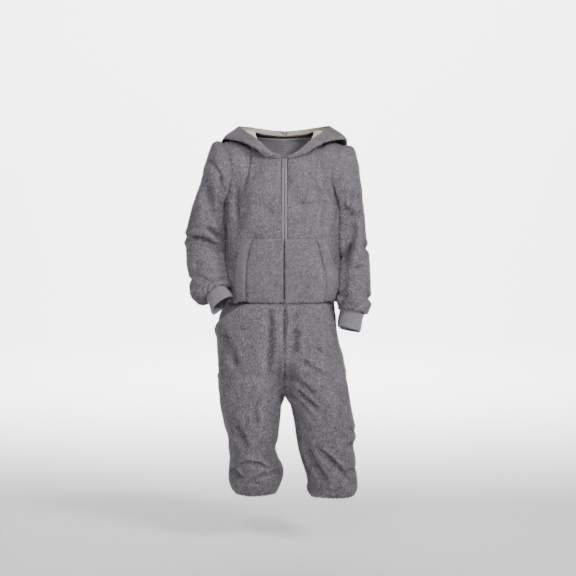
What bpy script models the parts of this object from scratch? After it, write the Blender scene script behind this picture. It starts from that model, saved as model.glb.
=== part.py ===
"""Child's hooded plush onesie in its hollow, worn form, with the hood down.

Metres, +Z up. The front faces -Y and the wearer's left is +X. The origin is at the base of the
neck, where the wearer's shoulders hold the garment up.

Every cloth piece is a grid of points on its outer skin. Neighbours share the points of their
seam, so one set of normals serves them all, and each wall is that skin joined to a copy of it
moved inwards.
"""

import math

import bpy
import numpy as np
from mathutils import Vector
from mathutils.bvhtree import BVHTree

# ---------------------------------------------------------------- driving dimensions

FLEECE = 0.005  # plush, from its backing to the tips of its pile
HOOD_CLOTH = 0.0032  # the same plush, pressed by its own folds
LINING = 0.0010
LINING_GAP = 0.0017  # between the hood's cloth and its lining
TIP = 6  # column of the hood's lowest fold where it lies on the shoulder
TIGHT_FOLD = (0.030, 0.018)  # legs nearer than this: the lining starts to turn early, and does
TURN_REACH = (0.70, 0.50)  # how far the early turn goes: to the tip, and for each width of fold
TURN_SPREAD = (0.92, 0.65)  # its shoulders: share of the nearer leg, and of the reach
RIB = 0.0028
POCKET_CLOTH = 0.004
SEAM_PULL = 0.0002  # each edge is drawn back this far from its seam
SHARPNESS = 2.35  # exponent of the body's sections: 2 is an ellipse

QUARTER = 11  # columns from the centre front or centre back to the side
NECK_COLUMNS = 7  # of those, the ones that end at the neckline
BODICE_ROWS = 11  # from the waist seam to the underarm
ARM_ROWS = 10  # from the underarm to the shoulder
SLEEVE_ROWS = 20
HIP_ROWS = 8
LEG_ROWS = 16
POCKET_ROWS = 7
HOOD_PROFILE = 10

WAIST_Z = -0.4080
UNDERARM_Z = -0.1581
CROTCH_Z = -0.6060
ZIP_EDGE = 0.0073  # from the centre to the cloth's edge beside the zip
CENTRE_EDGE = 0.0004  # from the centre to the cloth's edge below the waist
V_POINT = (0.0085, -0.0890, -0.0435)
NECK_FRONT = (0.0440, -0.0810, -0.0370)
NECK_SIDE = (0.0780, 0.0080, 0.0160)
NECK_BACK = (0.0000, 0.0600, 0.0120)

# Sections of the bodice: height, reach to the wearer's right and left, front and back.
BODICE_RINGS = (
    # height, right, left, front, back
    (-0.4080, 0.1500, 0.1300, 0.1100, 0.1000),
    (-0.3700, 0.1460, 0.1345, 0.1150, 0.1050),
    (-0.3000, 0.1435, 0.1355, 0.1150, 0.1040),
    (-0.2300, 0.1440, 0.1352, 0.1120, 0.1010),
    (-0.1581, 0.1505, 0.1364, 0.1060, 0.1000),
)

# Rings of each sleeve, from the armhole to the cuff: its outer point, its inner point, and half
# its depth from front to back.
SLEEVE_RINGS = {
    "right": (
        # outer x, y, z, inner x, y, z, half depth
        (-0.1594, 0.004, 0.0013, -0.1505, 0.000, -0.1581, 0.068),
        (-0.1874, 0.004, -0.0331, -0.1540, 0.000, -0.1607, 0.067),
        (-0.2037, 0.005, -0.0650, -0.1560, 0.000, -0.1658, 0.064),
        (-0.2155, 0.006, -0.1046, -0.1570, 0.001, -0.1785, 0.060),
        (-0.2333, 0.010, -0.1556, -0.1570, 0.003, -0.1989, 0.058),
        (-0.2499, 0.016, -0.2091, -0.1560, 0.006, -0.2295, 0.057),
        (-0.2588, 0.020, -0.2474, -0.1550, 0.008, -0.2588, 0.056),
        (-0.2550, 0.013, -0.2856, -0.1530, 0.000, -0.2856, 0.056),
        (-0.2499, -0.002, -0.3239, -0.1500, -0.018, -0.3111, 0.055),
        (-0.2384, -0.022, -0.3570, -0.1470, -0.038, -0.3302, 0.052),
        (-0.2397, -0.034, -0.3825, -0.1440, -0.050, -0.3443, 0.053),
        (-0.2257, -0.046, -0.4106, -0.1440, -0.060, -0.3557, 0.049),
        (-0.2066, -0.052, -0.4157, -0.1470, -0.064, -0.3634, 0.040),
        (-0.1989, -0.052, -0.4004, -0.1500, -0.064, -0.3634, 0.034),
    ),
    "left": (
        (0.1517, 0.004, -0.0077, 0.1364, 0.000, -0.1581, 0.068),
        (0.1700, 0.004, -0.0293, 0.1395, 0.000, -0.1632, 0.067),
        (0.1849, 0.004, -0.0536, 0.1415, 0.000, -0.1696, 0.063),
        (0.1938, 0.004, -0.0918, 0.1420, 0.000, -0.1811, 0.060),
        (0.2002, 0.005, -0.1428, 0.1415, 0.002, -0.2015, 0.057),
        (0.2066, 0.006, -0.1938, 0.1410, 0.002, -0.2321, 0.054),
        (0.2129, 0.006, -0.2448, 0.1405, 0.000, -0.2678, 0.052),
        (0.2180, 0.002, -0.2958, 0.1400, -0.004, -0.3034, 0.051),
        (0.2226, -0.006, -0.3392, 0.1400, -0.010, -0.3366, 0.050),
        (0.2231, -0.014, -0.3774, 0.1395, -0.018, -0.3672, 0.048),
        (0.2231, -0.020, -0.4055, 0.1370, -0.024, -0.3978, 0.048),
        (0.2193, -0.025, -0.4310, 0.1370, -0.029, -0.4195, 0.046),
        (0.2104, -0.028, -0.4501, 0.1385, -0.032, -0.4348, 0.040),
        (0.2040, -0.028, -0.4450, 0.1415, -0.032, -0.4284, 0.034),
    ),
}
ARMHOLE_INSET = 0.022  # how far the armhole curves in across the chest and the back
CUFF_AXIS = {"right": (0.530, -0.375, -0.760), "left": (-0.215, -0.200, -0.955)}
CUFF_LENGTH = {"right": 0.038, "left": 0.045}
CUFF_HALF = 0.0325  # half the cuff's width at the hand
CUFF_START = 0.95  # the cuff's upper edge, in parts of the sleeve's end ring
CUFF_TUCK = {"right": 0.0007, "left": 0.0016}  # how far that edge tucks up to the sleeve

# Sections of the seat, where the two legs share the centre seams. The split is 0 where a leg's
# section is half of the whole body's, and 1 at the crotch, where it is a whole ring of its own.
HIP_RINGS = (
    # height, right, left, split, front, back
    (-0.4080, 0.1500, 0.1300, 0.00, 0.1100, 0.1000),
    (-0.4400, 0.1680, 0.1320, 0.07, 0.1120, 0.1070),
    (-0.4690, 0.1770, 0.1345, 0.16, 0.1130, 0.1130),
    (-0.5200, 0.1770, 0.1440, 0.38, 0.1110, 0.1170),
    (-0.5710, 0.1745, 0.1575, 0.72, 0.1060, 0.1130),
    (-0.6060, 0.1735, 0.1630, 1.00, 0.1020, 0.1060),
)

# Rings of each leg below the crotch: height, outer and inner reach, front and back.
LEG_RINGS = {
    "right": (
        # height, outer, inner, front, back
        (-0.6060, -0.1735, 0.0000, 0.1020, 0.1060),
        (-0.6338, -0.1720, -0.0055, 0.0985, 0.1010),
        (-0.6777, -0.1690, -0.0064, 0.0940, 0.0930),
        (-0.7216, -0.1594, -0.0090, 0.0900, 0.0860),
        (-0.7654, -0.1490, -0.0150, 0.0850, 0.0810),
        (-0.7922, -0.1485, -0.0217, 0.0800, 0.0770),
        (-0.8200, -0.1450, -0.0160, 0.0800, 0.0750),
        (-0.8521, -0.1466, -0.0013, 0.0830, 0.0770),
        (-0.8746, -0.1466, -0.0038, 0.0800, 0.0760),
        (-0.8981, -0.1385, -0.0140, 0.0680, 0.0660),
        (-0.9131, -0.1290, -0.0215, 0.0560, 0.0560),
    ),
    "left": (
        (-0.6060, 0.1630, 0.0000, 0.1020, 0.1060),
        (-0.6338, 0.1670, 0.0064, 0.0985, 0.1010),
        (-0.6777, 0.1720, 0.0166, 0.0940, 0.0930),
        (-0.7216, 0.1800, 0.0242, 0.0900, 0.0860),
        (-0.7547, 0.1855, 0.0290, 0.0860, 0.0820),
        (-0.7868, 0.1805, 0.0344, 0.0800, 0.0770),
        (-0.8200, 0.1849, 0.0425, 0.0790, 0.0760),
        (-0.8521, 0.1823, 0.0523, 0.0780, 0.0750),
        (-0.8799, 0.1890, 0.0590, 0.0780, 0.0750),
        (-0.9024, 0.1900, 0.0575, 0.0690, 0.0670),
        (-0.9184, 0.1800, 0.0660, 0.0570, 0.0570),
    ),
}
# Where each leg's axis leans forward (-) or back (+) on its way down.
LEG_LEAN = ((-0.4080, 0.0), (-0.6060, 0.0), (-0.7216, 0.002), (-0.9184, 0.010))

# The hood's outer skin, turned down: profiles round the neck from the V to the centre back, each
# from the neck seam over its roll and its lowest fold up to its free edge. Given at +X.
HOOD_STATIONS = (0.0, 2.5, 4.6, 7.0, 10.5, 14.0)  # in columns of the neckline
HOOD_PROFILES = (
    # seam, roll, under, fold, outer, edge
    ((0.0082, -0.0895, -0.0425), (0.0083, -0.0908, -0.0412), (0.0084, -0.0916, -0.0396),
     (0.0084, -0.0920, -0.0378), (0.0082, -0.0918, -0.0360), (0.0078, -0.0910, -0.0343)),
    ((0.0360, -0.0865, -0.0395), (0.0368, -0.0889, -0.0375), (0.0372, -0.0906, -0.0350),
     (0.0372, -0.0915, -0.0320), (0.0362, -0.0912, -0.0285), (0.0340, -0.0895, -0.0250)),
    ((0.0580, -0.0640, -0.0225), (0.0660, -0.0705, -0.0215), (0.0735, -0.0762, -0.0185),
     (0.0785, -0.0780, -0.0125), (0.0785, -0.0735, -0.0030), (0.0700, -0.0620, 0.0075)),
    ((0.0770, 0.0060, 0.0175), (0.0900, 0.0030, 0.0230), (0.1180, -0.0020, 0.0180),
     (0.1520, -0.0080, 0.0050), (0.1460, -0.0060, 0.0180), (0.1120, 0.0000, 0.0370)),
    ((0.0520, 0.0440, 0.0150), (0.0640, 0.0580, 0.0210), (0.0880, 0.0900, -0.0150),
     (0.1200, 0.1160, -0.0900), (0.1360, 0.1300, -0.0300), (0.0960, 0.1080, 0.0430)),
    ((0.0000, 0.0590, 0.0130), (0.0000, 0.0700, 0.0230), (0.0000, 0.1020, -0.0350),
     (0.0000, 0.1340, -0.1500), (0.0000, 0.1760, -0.0800), (0.0000, 0.1420, 0.0330)),
)
SLEEVE_CLEARANCE = 0.0050  # between each sleeve or cuff and the body beside it
HOOD_CLEARANCE = 0.0064  # between the hood and the shoulders that it rests on

# Kangaroo pocket: reach of its opening edge at each height, from the top edge to the waist seam.
POCKET_OPENING = (
    # height, right, left
    (-0.2440, 0.0990, 0.0990),
    (-0.2650, 0.1060, 0.1050),
    (-0.3060, 0.1120, 0.1150),
    (-0.3500, 0.1160, 0.1265),
    (-0.4040, 0.1185, 0.1250),
)
POCKET_INNER = 0.0024  # from the centre to the pocket's inner edge
POCKET_BAND = 0.022
POCKET_SEAT = 0.0010  # between the pocket and the front that it is sewn to
POCKET_GAPE = {"right": 0.0115, "left": 0.0110}  # how far the opening stands off, halfway down

# Slant hip pockets: the part of the half section, counted from the centre front to the side,
# that the leg front covers at the waist, and the height where its slant meets the side seam.
HIP_POCKET_START = {"right": 0.40, "left": 0.56}
HIP_POCKET_ROWS = 4
HIP_POCKET_GAPE = {"right": 0.0120, "left": 0.0012}
FACING_REACH = 0.20  # how far the facing runs on beneath the leg front, in parts of the section
FACING_SIDE = 0.006  # the facing's side edge, as an angle short of the side seam
FACING_DEPTH = FLEECE + 0.0028

# Largest folds, each a soft trough (depth above 0) or ridge (below 0) along a curve through
# three points seen from the front. Side: -1 lies on the front, +1 on the back.
FOLDS = (
    # name, side, x0, z0, x1, z1, x2, z2, depth, width
    ("chest ridge right", -1, -0.1320, -0.150, -0.1340, -0.230, -0.1300, -0.340, -0.004, 0.012),
    ("chest trough right", -1, -0.1180, -0.100, -0.1160, -0.150, -0.1130, -0.215, 0.005, 0.013),
    ("chest dimple right", -1, -0.0450, -0.165, -0.0380, -0.180, -0.0300, -0.192, 0.003, 0.016),
    ("chest dimple left", -1, 0.0300, -0.150, 0.0420, -0.162, 0.0520, -0.178, 0.003, 0.016),
    ("hip drag right", -1, -0.1600, -0.488, -0.1400, -0.530, -0.1190, -0.572, 0.007, 0.015),
    ("thigh trough right", -1, -0.0400, -0.412, -0.0380, -0.500, -0.0400, -0.610, 0.004, 0.014),
    ("thigh trough left", -1, 0.0300, -0.440, 0.0280, -0.500, 0.0350, -0.552, 0.005, 0.014),
    ("lap fold left", -1, 0.0400, -0.556, 0.0730, -0.570, 0.1080, -0.592, 0.004, 0.014),
    ("crotch drag left", -1, 0.0230, -0.603, 0.0480, -0.642, 0.0840, -0.696, 0.007, 0.015),
    ("shin drag right", -1, -0.1420, -0.688, -0.1180, -0.744, -0.0940, -0.798, 0.004, 0.014),
    ("outseam right", -1, -0.1560, -0.520, -0.1500, -0.685, -0.1300, -0.846, 0.004, 0.012),
    ("calf fold left", -1, 0.0600, -0.790, 0.0780, -0.844, 0.1100, -0.891, 0.009, 0.014),
    ("calf fold left outer", -1, 0.0850, -0.798, 0.1180, -0.830, 0.1700, -0.886, 0.007, 0.014),
    ("blouse fold right", -1, -0.1240, -0.848, -0.0850, -0.835, -0.0400, -0.852, 0.009, 0.013),
    ("blouse fold right low", -1, -0.1050, -0.895, -0.0560, -0.871, -0.0090, -0.859, 0.006, 0.011),
    ("sleeve trough right", -1, -0.2000, -0.102, -0.1920, -0.145, -0.1830, -0.195, 0.006, 0.012),
    ("elbow fold right", -1, -0.2400, -0.243, -0.1950, -0.252, -0.1590, -0.273, 0.008, 0.011),
    ("elbow fold right upper", -1, -0.2010, -0.217, -0.1800, -0.230, -0.1620, -0.243, 0.005, 0.009),
    ("forearm fold right", -1, -0.2310, -0.309, -0.2200, -0.310, -0.2080, -0.306, 0.004, 0.010),
    ("sleeve trough left", -1, 0.1850, -0.098, 0.1800, -0.200, 0.1470, -0.305, 0.005, 0.012),
    ("elbow fold left", -1, 0.1370, -0.306, 0.1530, -0.286, 0.1670, -0.263, 0.006, 0.011),
    ("elbow fold left outer", -1, 0.1720, -0.321, 0.1900, -0.320, 0.2060, -0.316, 0.004, 0.010),
    ("blouse fold left", -1, 0.1360, -0.384, 0.1480, -0.390, 0.1600, -0.396, 0.007, 0.010),
    ("back yoke drag right", 1, -0.1150, -0.170, -0.0900, -0.230, -0.0820, -0.310, 0.004, 0.018),
    ("back yoke drag left", 1, 0.1080, -0.160, 0.0920, -0.240, 0.0880, -0.300, 0.004, 0.018),
    ("back waist blouse", 1, -0.1000, -0.388, 0.0000, -0.380, 0.0950, -0.392, -0.006, 0.016),
    ("seat drag right", 1, -0.0250, -0.560, -0.0650, -0.585, -0.1150, -0.580, 0.006, 0.018),
    ("seat drag left", 1, 0.0260, -0.565, 0.0700, -0.592, 0.1200, -0.600, 0.006, 0.018),
    ("knee back right", 1, -0.1350, -0.707, -0.0850, -0.723, -0.0350, -0.712, 0.006, 0.014),
    ("knee back left", 1, 0.0500, -0.712, 0.1000, -0.730, 0.1550, -0.719, 0.006, 0.014),
    ("calf back right", 1, -0.1280, -0.814, -0.0800, -0.837, -0.0300, -0.826, 0.007, 0.014),
    ("calf back left", 1, 0.0650, -0.814, 0.1100, -0.840, 0.1650, -0.830, 0.007, 0.014),
    ("sleeve back right", 1, -0.2400, -0.250, -0.2050, -0.262, -0.1750, -0.255, 0.006, 0.012),
    ("sleeve back left", 1, 0.1550, -0.300, 0.1800, -0.312, 0.2050, -0.305, 0.006, 0.012),
)

# Zip: its tape lies under the cloth's surface by this much at each height.
ZIP_DEPTH = (
    # height, depth
    (-0.0425, 0.0012),
    (-0.2300, 0.0018),
    (-0.2900, 0.0040),
    (-0.3900, FLEECE + 0.0014),
    (-0.4700, FLEECE + 0.0014),
)
ZIP_TAPE = 0.0012
ZIP_TAPE_GAP = 0.0003  # from the centre to each tape's inner edge
ZIP_TAPE_EDGE = 0.0068
ZIP_MOUTH = 0.0020  # the same, above the slider, where the tapes part
ZIP_ROWS = 18

SLIDER_TOP_Z = -0.0455
SLIDER = (0.0090, 0.0014, 0.0105)  # width, plate thickness, height
SLIDER_GAP = 0.0003  # between each plate and the tape
SLIDER_NECK = (0.0026, 0.0030)  # width and height of the post that joins the plates
BAIL = (0.0016, 0.0010, 0.0074, 0.0030)  # width, wire, height, how far it stands off the plate
PULL = (0.0066, 0.0011, 0.0165)  # width, thickness, length below the hinge axis
PULL_HOLE = (0.0028, 0.0052)  # width and length of the hole that the bail runs through

COLOURS = {
    # name: red, green, blue, roughness, metallic
    "fleece": (0.19, 0.17, 0.195, 0.95, 0.0),
    "lining": (0.62, 0.53, 0.47, 0.85, 0.0),
    "rib": (0.24, 0.225, 0.25, 0.90, 0.0),
    "tape": (0.25, 0.235, 0.255, 0.80, 0.0),
    "slider": (0.26, 0.25, 0.27, 0.45, 0.3),
}
SIDES = {"right": -1.0, "left": 1.0}
DOWN = np.array([0.0, 0.0, -1.0])


# ---------------------------------------------------------------- curves and tables


def spline(knots, values, at):
    """A smooth curve through the values at the knots, read at the places given."""
    knots = np.asarray(knots, float)
    values = np.asarray(values, float)
    at = np.asarray(at, float)
    slopes = np.gradient(values, knots, axis=0)
    left = np.clip(np.searchsorted(knots, at, side="right") - 1, 0, len(knots) - 2)
    step = knots[left + 1] - knots[left]
    t = (at - knots[left]) / step
    if values.ndim > 1:
        t = t.reshape(-1, *([1] * (values.ndim - 1)))
        step = step.reshape(t.shape)
    a, b = values[left], values[left + 1]
    slope_a, slope_b = slopes[left] * step, slopes[left + 1] * step
    near = (1 + 2 * t) * (1 - t) ** 2 * a + t * (1 - t) ** 2 * slope_a
    return near + t**2 * (3 - 2 * t) * b + t**2 * (t - 1) * slope_b


def read(table, height):
    """The columns of a table of falling or rising heights, read at one height."""
    rows = np.asarray(sorted(table), float)
    return spline(rows[:, 0], rows[:, 1:], [height])[0]


def along(points, count):
    """Evenly spaced points along a smooth curve through the points given."""
    points = np.asarray(points, float)
    dense = spline(np.arange(len(points)), points, np.linspace(0, len(points) - 1, 80))
    steps = np.linalg.norm(np.diff(dense, axis=0), axis=1)
    run = np.concatenate([[0], np.cumsum(steps)])
    wanted = np.linspace(0, run[-1], count)
    return np.stack([np.interp(wanted, run, dense[:, k]) for k in range(3)], axis=1)


def power(value, exponent):
    return np.sign(value) * np.abs(value) ** exponent


def unit(vectors):
    return vectors / np.maximum(np.linalg.norm(vectors, axis=-1, keepdims=True), 1e-12)


# ---------------------------------------------------------------- bodice


def bodice_quarter(side, face, height, parts):
    """Part of a bodice section: parts run from 0 at the centre to 1 at the side seam."""
    right, left, front, back = read(BODICE_RINGS, height)
    reach = left if side > 0 else right
    depth = -front if face < 0 else back
    angle = np.asarray(parts) * math.pi / 2
    x = side * reach * power(np.sin(angle), 2 / SHARPNESS)
    y = depth * power(np.cos(angle), 2 / SHARPNESS)
    return np.stack([x, y, np.full_like(x, height)], axis=1)


def sleeve_ring(outer, inner, half_depth, axis, inset=0.0):
    """A closed ring from the inner point, over the front to the outer point, and back."""
    centre = (outer + inner) / 2
    reach = (outer - inner) / 2
    front = unit(np.cross(reach, axis))
    if front[1] > 0:
        front = -front
    angle = np.arange(2 * ARM_ROWS) * math.pi / ARM_ROWS
    ring = centre - np.outer(power(np.cos(angle), 0.94), reach)
    ring = ring + np.outer(power(np.sin(angle), 0.90) * half_depth, front)
    ring[:, 0] -= np.sign(centre[0]) * inset * np.sin(angle) ** 2
    return ring


def sleeve_grid(name):
    """The sleeve's rings, evenly spaced from the armhole to the cuff."""
    table = np.asarray(SLEEVE_RINGS[name], float)
    middle = (table[:, :3] + table[:, 3:6]) / 2
    steps = np.linalg.norm(np.diff(table[:, :3], axis=0), axis=1)
    steps = steps + np.linalg.norm(np.diff(middle, axis=0), axis=1)
    run = np.concatenate([[0], np.cumsum(steps)])
    rows = spline(run, table, np.linspace(0, run[-1], SLEEVE_ROWS + 1))
    centres = (rows[:, :3] + rows[:, 3:6]) / 2
    axes = unit(np.gradient(centres, axis=0))
    axes[0] = (SIDES[name], 0, -0.12)
    end = np.clip((np.arange(SLEEVE_ROWS + 1) - (SLEEVE_ROWS - 6)) / 3, 0, 1)[:, None]
    axes = unit(axes * (1 - end) + np.array(CUFF_AXIS[name]) * end)
    fade = np.clip(1 - np.arange(SLEEVE_ROWS + 1) / 4, 0, 1) ** 1.5
    return np.stack([
        sleeve_ring(row[:3], row[3:6], row[6], axis, ARMHOLE_INSET * part)
        for row, axis, part in zip(rows, axes, fade)
    ])


def armhole(name, face):
    """The armhole's front or back curve, from the underarm to the shoulder."""
    ring = sleeve_grid(name)[0]
    if face < 0:
        return ring[: ARM_ROWS + 1]
    return np.concatenate([ring[:1], ring[: ARM_ROWS - 1 : -1]])


def top_edge(name, face):
    """The neckline from the centre to the side of the neck, then the shoulder seam."""
    side = SIDES[name]
    mirror = np.array([side, 1, 1])
    if face < 0:
        low = (0.062, -0.058, -0.0215)
        neck = [V_POINT, NECK_FRONT, low, (0.0765, -0.020, 0.0040), NECK_SIDE]
    else:
        neck = [NECK_BACK, (0.040, 0.052, 0.0130), (0.070, 0.030, 0.0155), NECK_SIDE]
    tip = armhole(name, face)[-1] * mirror
    neck = along(neck, NECK_COLUMNS + 1)
    middle = (neck[-1] + tip) / 2 + np.array([0, 0, 0.003])
    shoulder = along([neck[-1], middle, tip], QUARTER - NECK_COLUMNS + 1)
    return np.concatenate([neck, shoulder[1:]]) * mirror


def filled(bottom, top, inner, outer):
    """A patch of rows between four edges: bottom and top rows, inner and outer columns."""
    u = np.linspace(0, 1, len(bottom))[None, :, None]
    v = np.linspace(0, 1, len(inner))[:, None, None]
    rows = (1 - v) * bottom[None] + v * top[None]
    columns = (1 - u) * inner[:, None] + u * outer[:, None]
    corners = (1 - u) * (1 - v) * bottom[0] + u * (1 - v) * bottom[-1]
    corners = corners + (1 - u) * v * top[0] + u * v * top[-1]
    return rows + columns - corners


def bodice_half(name, face):
    """Rows from the waist seam up to the neckline and shoulder, columns out to the side."""
    side = SIDES[name]
    parts = np.linspace(0, 1, QUARTER + 1)
    heights = np.linspace(WAIST_Z, UNDERARM_Z, BODICE_ROWS + 1)
    lower = np.stack([bodice_quarter(side, face, z, parts) for z in heights])
    if face < 0:
        lower[:, 0, 0] = side * ZIP_EDGE
    bottom, top = lower[-1], top_edge(name, face)
    rise = spline([0, 0.5, 1], [bottom[0], middle_of_centre(bottom[0], top[0], face), top[0]],
                  np.linspace(0, 1, ARM_ROWS + 1))
    upper = filled(bottom, top, rise, armhole(name, face))
    return np.concatenate([lower, upper[1:]])


def middle_of_centre(low, high, face):
    """A point halfway up the centre line, a little further out than the straight line."""
    return (low + high) / 2 + np.array([0, 0.004 if face < 0 else 0.016, 0])


def bodice_back():
    """Both halves of the back as one grid, from the wearer's right to the left."""
    right, left = bodice_half("right", 1), bodice_half("left", 1)
    return np.concatenate([right[:, :0:-1], left], axis=1)


# ---------------------------------------------------------------- legs


def hip_row(name, face, height, end=0.0):
    """A leg's half section over the seat, from the centre seam to the side, or to a slant."""
    right, left, split, front, back = read(HIP_RINGS, height)
    side = SIDES[name]
    reach = left if side > 0 else right
    half = reach / (1 + split)
    start = math.acos(-min(split, 1.0) ** (SHARPNESS / 2))
    angle = np.linspace(start, end, QUARTER + 1)
    x = side * (split * half + half * power(np.cos(angle), 2 / SHARPNESS))
    depth = -front if face < 0 else back
    y = depth * power(np.maximum(np.sin(angle), 0), 2 / SHARPNESS)
    x[0] = side * CENTRE_EDGE if face < 0 and split < 0.999 else 0.0
    return np.stack([x, y, np.full_like(x, height)], axis=1)


def leg_row(name, face, height, place):
    """A leg's half ring below the crotch, from the inseam to the side seam."""
    outer, inner, front, back = place
    lean = read(LEG_LEAN, height)[0]
    angle = np.linspace(math.pi, 0, QUARTER + 1)
    x = (outer + inner) / 2 + (outer - inner) / 2 * power(np.cos(angle), 2 / SHARPNESS)
    depth = -front if face < 0 else back
    y = lean + depth * power(np.maximum(np.sin(angle), 0), 2 / SHARPNESS)
    return np.stack([x, y, np.full_like(x, height)], axis=1)


def slant_angles(name):
    """Where each hip row's leg front ends: on the slant pocket's edge, then at the side."""
    heights = np.linspace(WAIST_Z, CROTCH_Z, HIP_ROWS + 1)
    ends = np.zeros(HIP_ROWS + 1)
    first = (1 - HIP_POCKET_START[name]) * math.pi / 2
    ends[:HIP_POCKET_ROWS] = first * (1 - np.arange(HIP_POCKET_ROWS) / HIP_POCKET_ROWS)
    return heights, ends


def leg_half(name, face):
    """A leg's front or back, rows from the waist seam down to the hem."""
    heights, ends = slant_angles(name)
    if face > 0:
        ends = np.zeros_like(ends)
    rows = [hip_row(name, face, z, end) for z, end in zip(heights, ends)]
    table = np.asarray(LEG_RINGS[name], float)
    hem = table[-1, 0]
    even = np.linspace(0, 1, LEG_ROWS + 1)[1:]
    for part in even:
        height = CROTCH_Z + (hem - CROTCH_Z) * part**0.92
        rows.append(leg_row(name, face, height, read(LEG_RINGS[name], height)))
    return np.stack(rows)


def gape_of(points, name, amount):
    """The slant pocket's edge stood off its facing, most in the middle of its length."""
    out = points.copy()
    for row in range(1, HIP_POCKET_ROWS):
        lift = amount * math.sin(math.pi * row / HIP_POCKET_ROWS)
        for back, share in ((0, 1.0), (1, 0.55), (2, 0.2)):
            place = out[row, QUARTER - back]
            away = unit(place * np.array([1, 1, 0]))
            out[row, QUARTER - back] = place + away * lift * share
    return out


def facing_grid(name):
    """The cloth that shows in the slant pocket and runs on beneath the leg front."""
    heights, ends = slant_angles(name)
    rows = []
    low = heights[HIP_POCKET_ROWS] + 0.0090
    for part in np.linspace(0, 1, HIP_POCKET_ROWS + 1):
        height = WAIST_Z + (low - WAIST_Z) * part
        slant = np.interp(-height, -heights, ends)
        start = min(slant + FACING_REACH * math.pi / 2, math.pi / 2)
        angle = np.linspace(start, FACING_SIDE, 7)
        under = np.clip(angle / max(slant, 0.12), 0, 1) ** 0.7
        rows.append(section_points(name, height, angle, under * FACING_DEPTH))
    return np.stack(rows)


def section_points(name, height, angle, depth):
    """Points of a hip section at the angles given, each moved in by its depth."""
    right, left, split, front, _back = read(HIP_RINGS, height)
    side = SIDES[name]
    half = (left if side > 0 else right) / (1 + split)
    x = side * (split * half + half * power(np.cos(angle), 2 / SHARPNESS))
    y = -front * power(np.maximum(np.sin(angle), 0), 2 / SHARPNESS)
    inward = np.stack([-side * np.cos(angle), np.sin(angle)], axis=1)
    points = np.stack([x, y, np.full_like(x, height)], axis=1)
    points[:, :2] += inward * np.asarray(depth)[:, None]
    return points


# ---------------------------------------------------------------- hood


def hood_grid():
    """Profiles round the neck, from the V at the wearer's right, by the back, to the left."""
    profiles = np.asarray(HOOD_PROFILES, float)
    count = 2 * NECK_COLUMNS
    beyond = profiles[-2] * np.array([-1, 1, 1])
    places = HOOD_STATIONS + (2 * HOOD_STATIONS[-1] - HOOD_STATIONS[-2],)
    stations = spline(places, np.concatenate([profiles, [beyond]]), np.arange(count + 1))
    half = np.stack([along(profile, HOOD_PROFILE + 1) for profile in stations])
    half[-1, :, 0] = 0
    mirrored = half * np.array([-1, 1, 1])
    return np.concatenate([mirrored, half[-2::-1]])


def rest_on(points, tree, clearance):
    """Points nearer to a skin than the clearance, or behind it, moved out in front of it."""
    out = points.reshape(-1, 3).copy()
    for index, point in enumerate(out):
        place, normal, _face, _far = tree.find_nearest(Vector(point))
        height = (Vector(point) - place).dot(normal)
        if -0.03 < height < clearance and (Vector(point) - place).length < 0.04:
            out[index] = np.array(Vector(point) + normal * (clearance - height))
    return out.reshape(points.shape)


def ease_faces(points, tree, clearance):
    """Corners of each quad moved out by what its middle lacks of the clearance."""
    for row in range(len(points) - 1):
        for column in range(points.shape[1] - 1):
            corners = points[row : row + 2, column : column + 2]
            middle = corners.mean(axis=(0, 1))
            corners += rest_on(middle, tree, clearance) - middle
    return points


def skin_tree(*sheets):
    """A search tree of the skins of these sheets, their faces turned outwards."""
    points, faces = [], []
    for sheet in sheets:
        start = len(points)
        points += [tuple(point) for point in sheet["points"].reshape(-1, 3)]
        for a, b, c, d in sheet["faces"]:
            faces += [(a + start, b + start, c + start), (a + start, c + start, d + start)]
    return BVHTree.FromPolygons(points, faces)


# ---------------------------------------------------------------- sheets, folds and walls


def grid_faces(rows, columns, closed=False):
    """Quads of a grid, row by row. A closed grid's last column joins its first."""
    faces = []
    for row in range(rows - 1):
        for column in range(columns if closed else columns - 1):
            following = (column + 1) % columns
            near, far = row * columns, (row + 1) * columns
            faces.append((near + column, near + following, far + following, far + column))
    return faces


def sheet_of(points, closed=False, flip=False):
    """A skin: its points, row by row, and its faces turned outwards."""
    faces = grid_faces(points.shape[0], points.shape[1], closed)
    if flip:
        faces = [face[::-1] for face in faces]
    return {"points": points, "faces": faces}


def shared_normals(sheets):
    """Normals of all sheets at once, so that neighbours agree along their seams."""
    total = {}
    for sheet in sheets:
        flat = sheet["points"].reshape(-1, 3)
        for face in sheet["faces"]:
            a, b, c, d = (flat[index] for index in face)
            normal = np.cross(c - a, d - b)
            for point in (a, b, c, d):
                key = tuple(np.round(point, 5))
                total[key] = total.get(key, np.zeros(3)) + normal
    for sheet in sheets:
        flat = sheet["points"].reshape(-1, 3)
        found = np.array([total[tuple(np.round(point, 5))] for point in flat])
        sheet["normals"] = unit(found).reshape(sheet["points"].shape)


def set_normals(sheets, points, directions):
    """Normals of seam points set outright, where the cloth doubles back on itself."""
    wanted = {tuple(np.round(p, 5)): d for p, d in zip(points, directions)}
    for sheet in sheets:
        flat = sheet["points"].reshape(-1, 3)
        normals = sheet["normals"].reshape(-1, 3)
        for index, point in enumerate(flat):
            found = wanted.get(tuple(np.round(point, 5)))
            if found is not None:
                normals[index] = found


def seam_normals(sheets):
    """Normals of every sheet, shared at the seams, and set at the armholes and the crotch."""
    shared_normals(sheets.values())
    for name in SIDES:
        ring = sheets[f"sleeve_{name}"]["points"][0]
        away = unit((ring - ring.mean(axis=0)) * np.array([0.3, 1, 1]))
        set_normals(sheets.values(), ring, away)
    crotch = sheets["leg_back_left"]["points"][HIP_ROWS, 0]
    set_normals(sheets.values(), [crotch], [DOWN])


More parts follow.
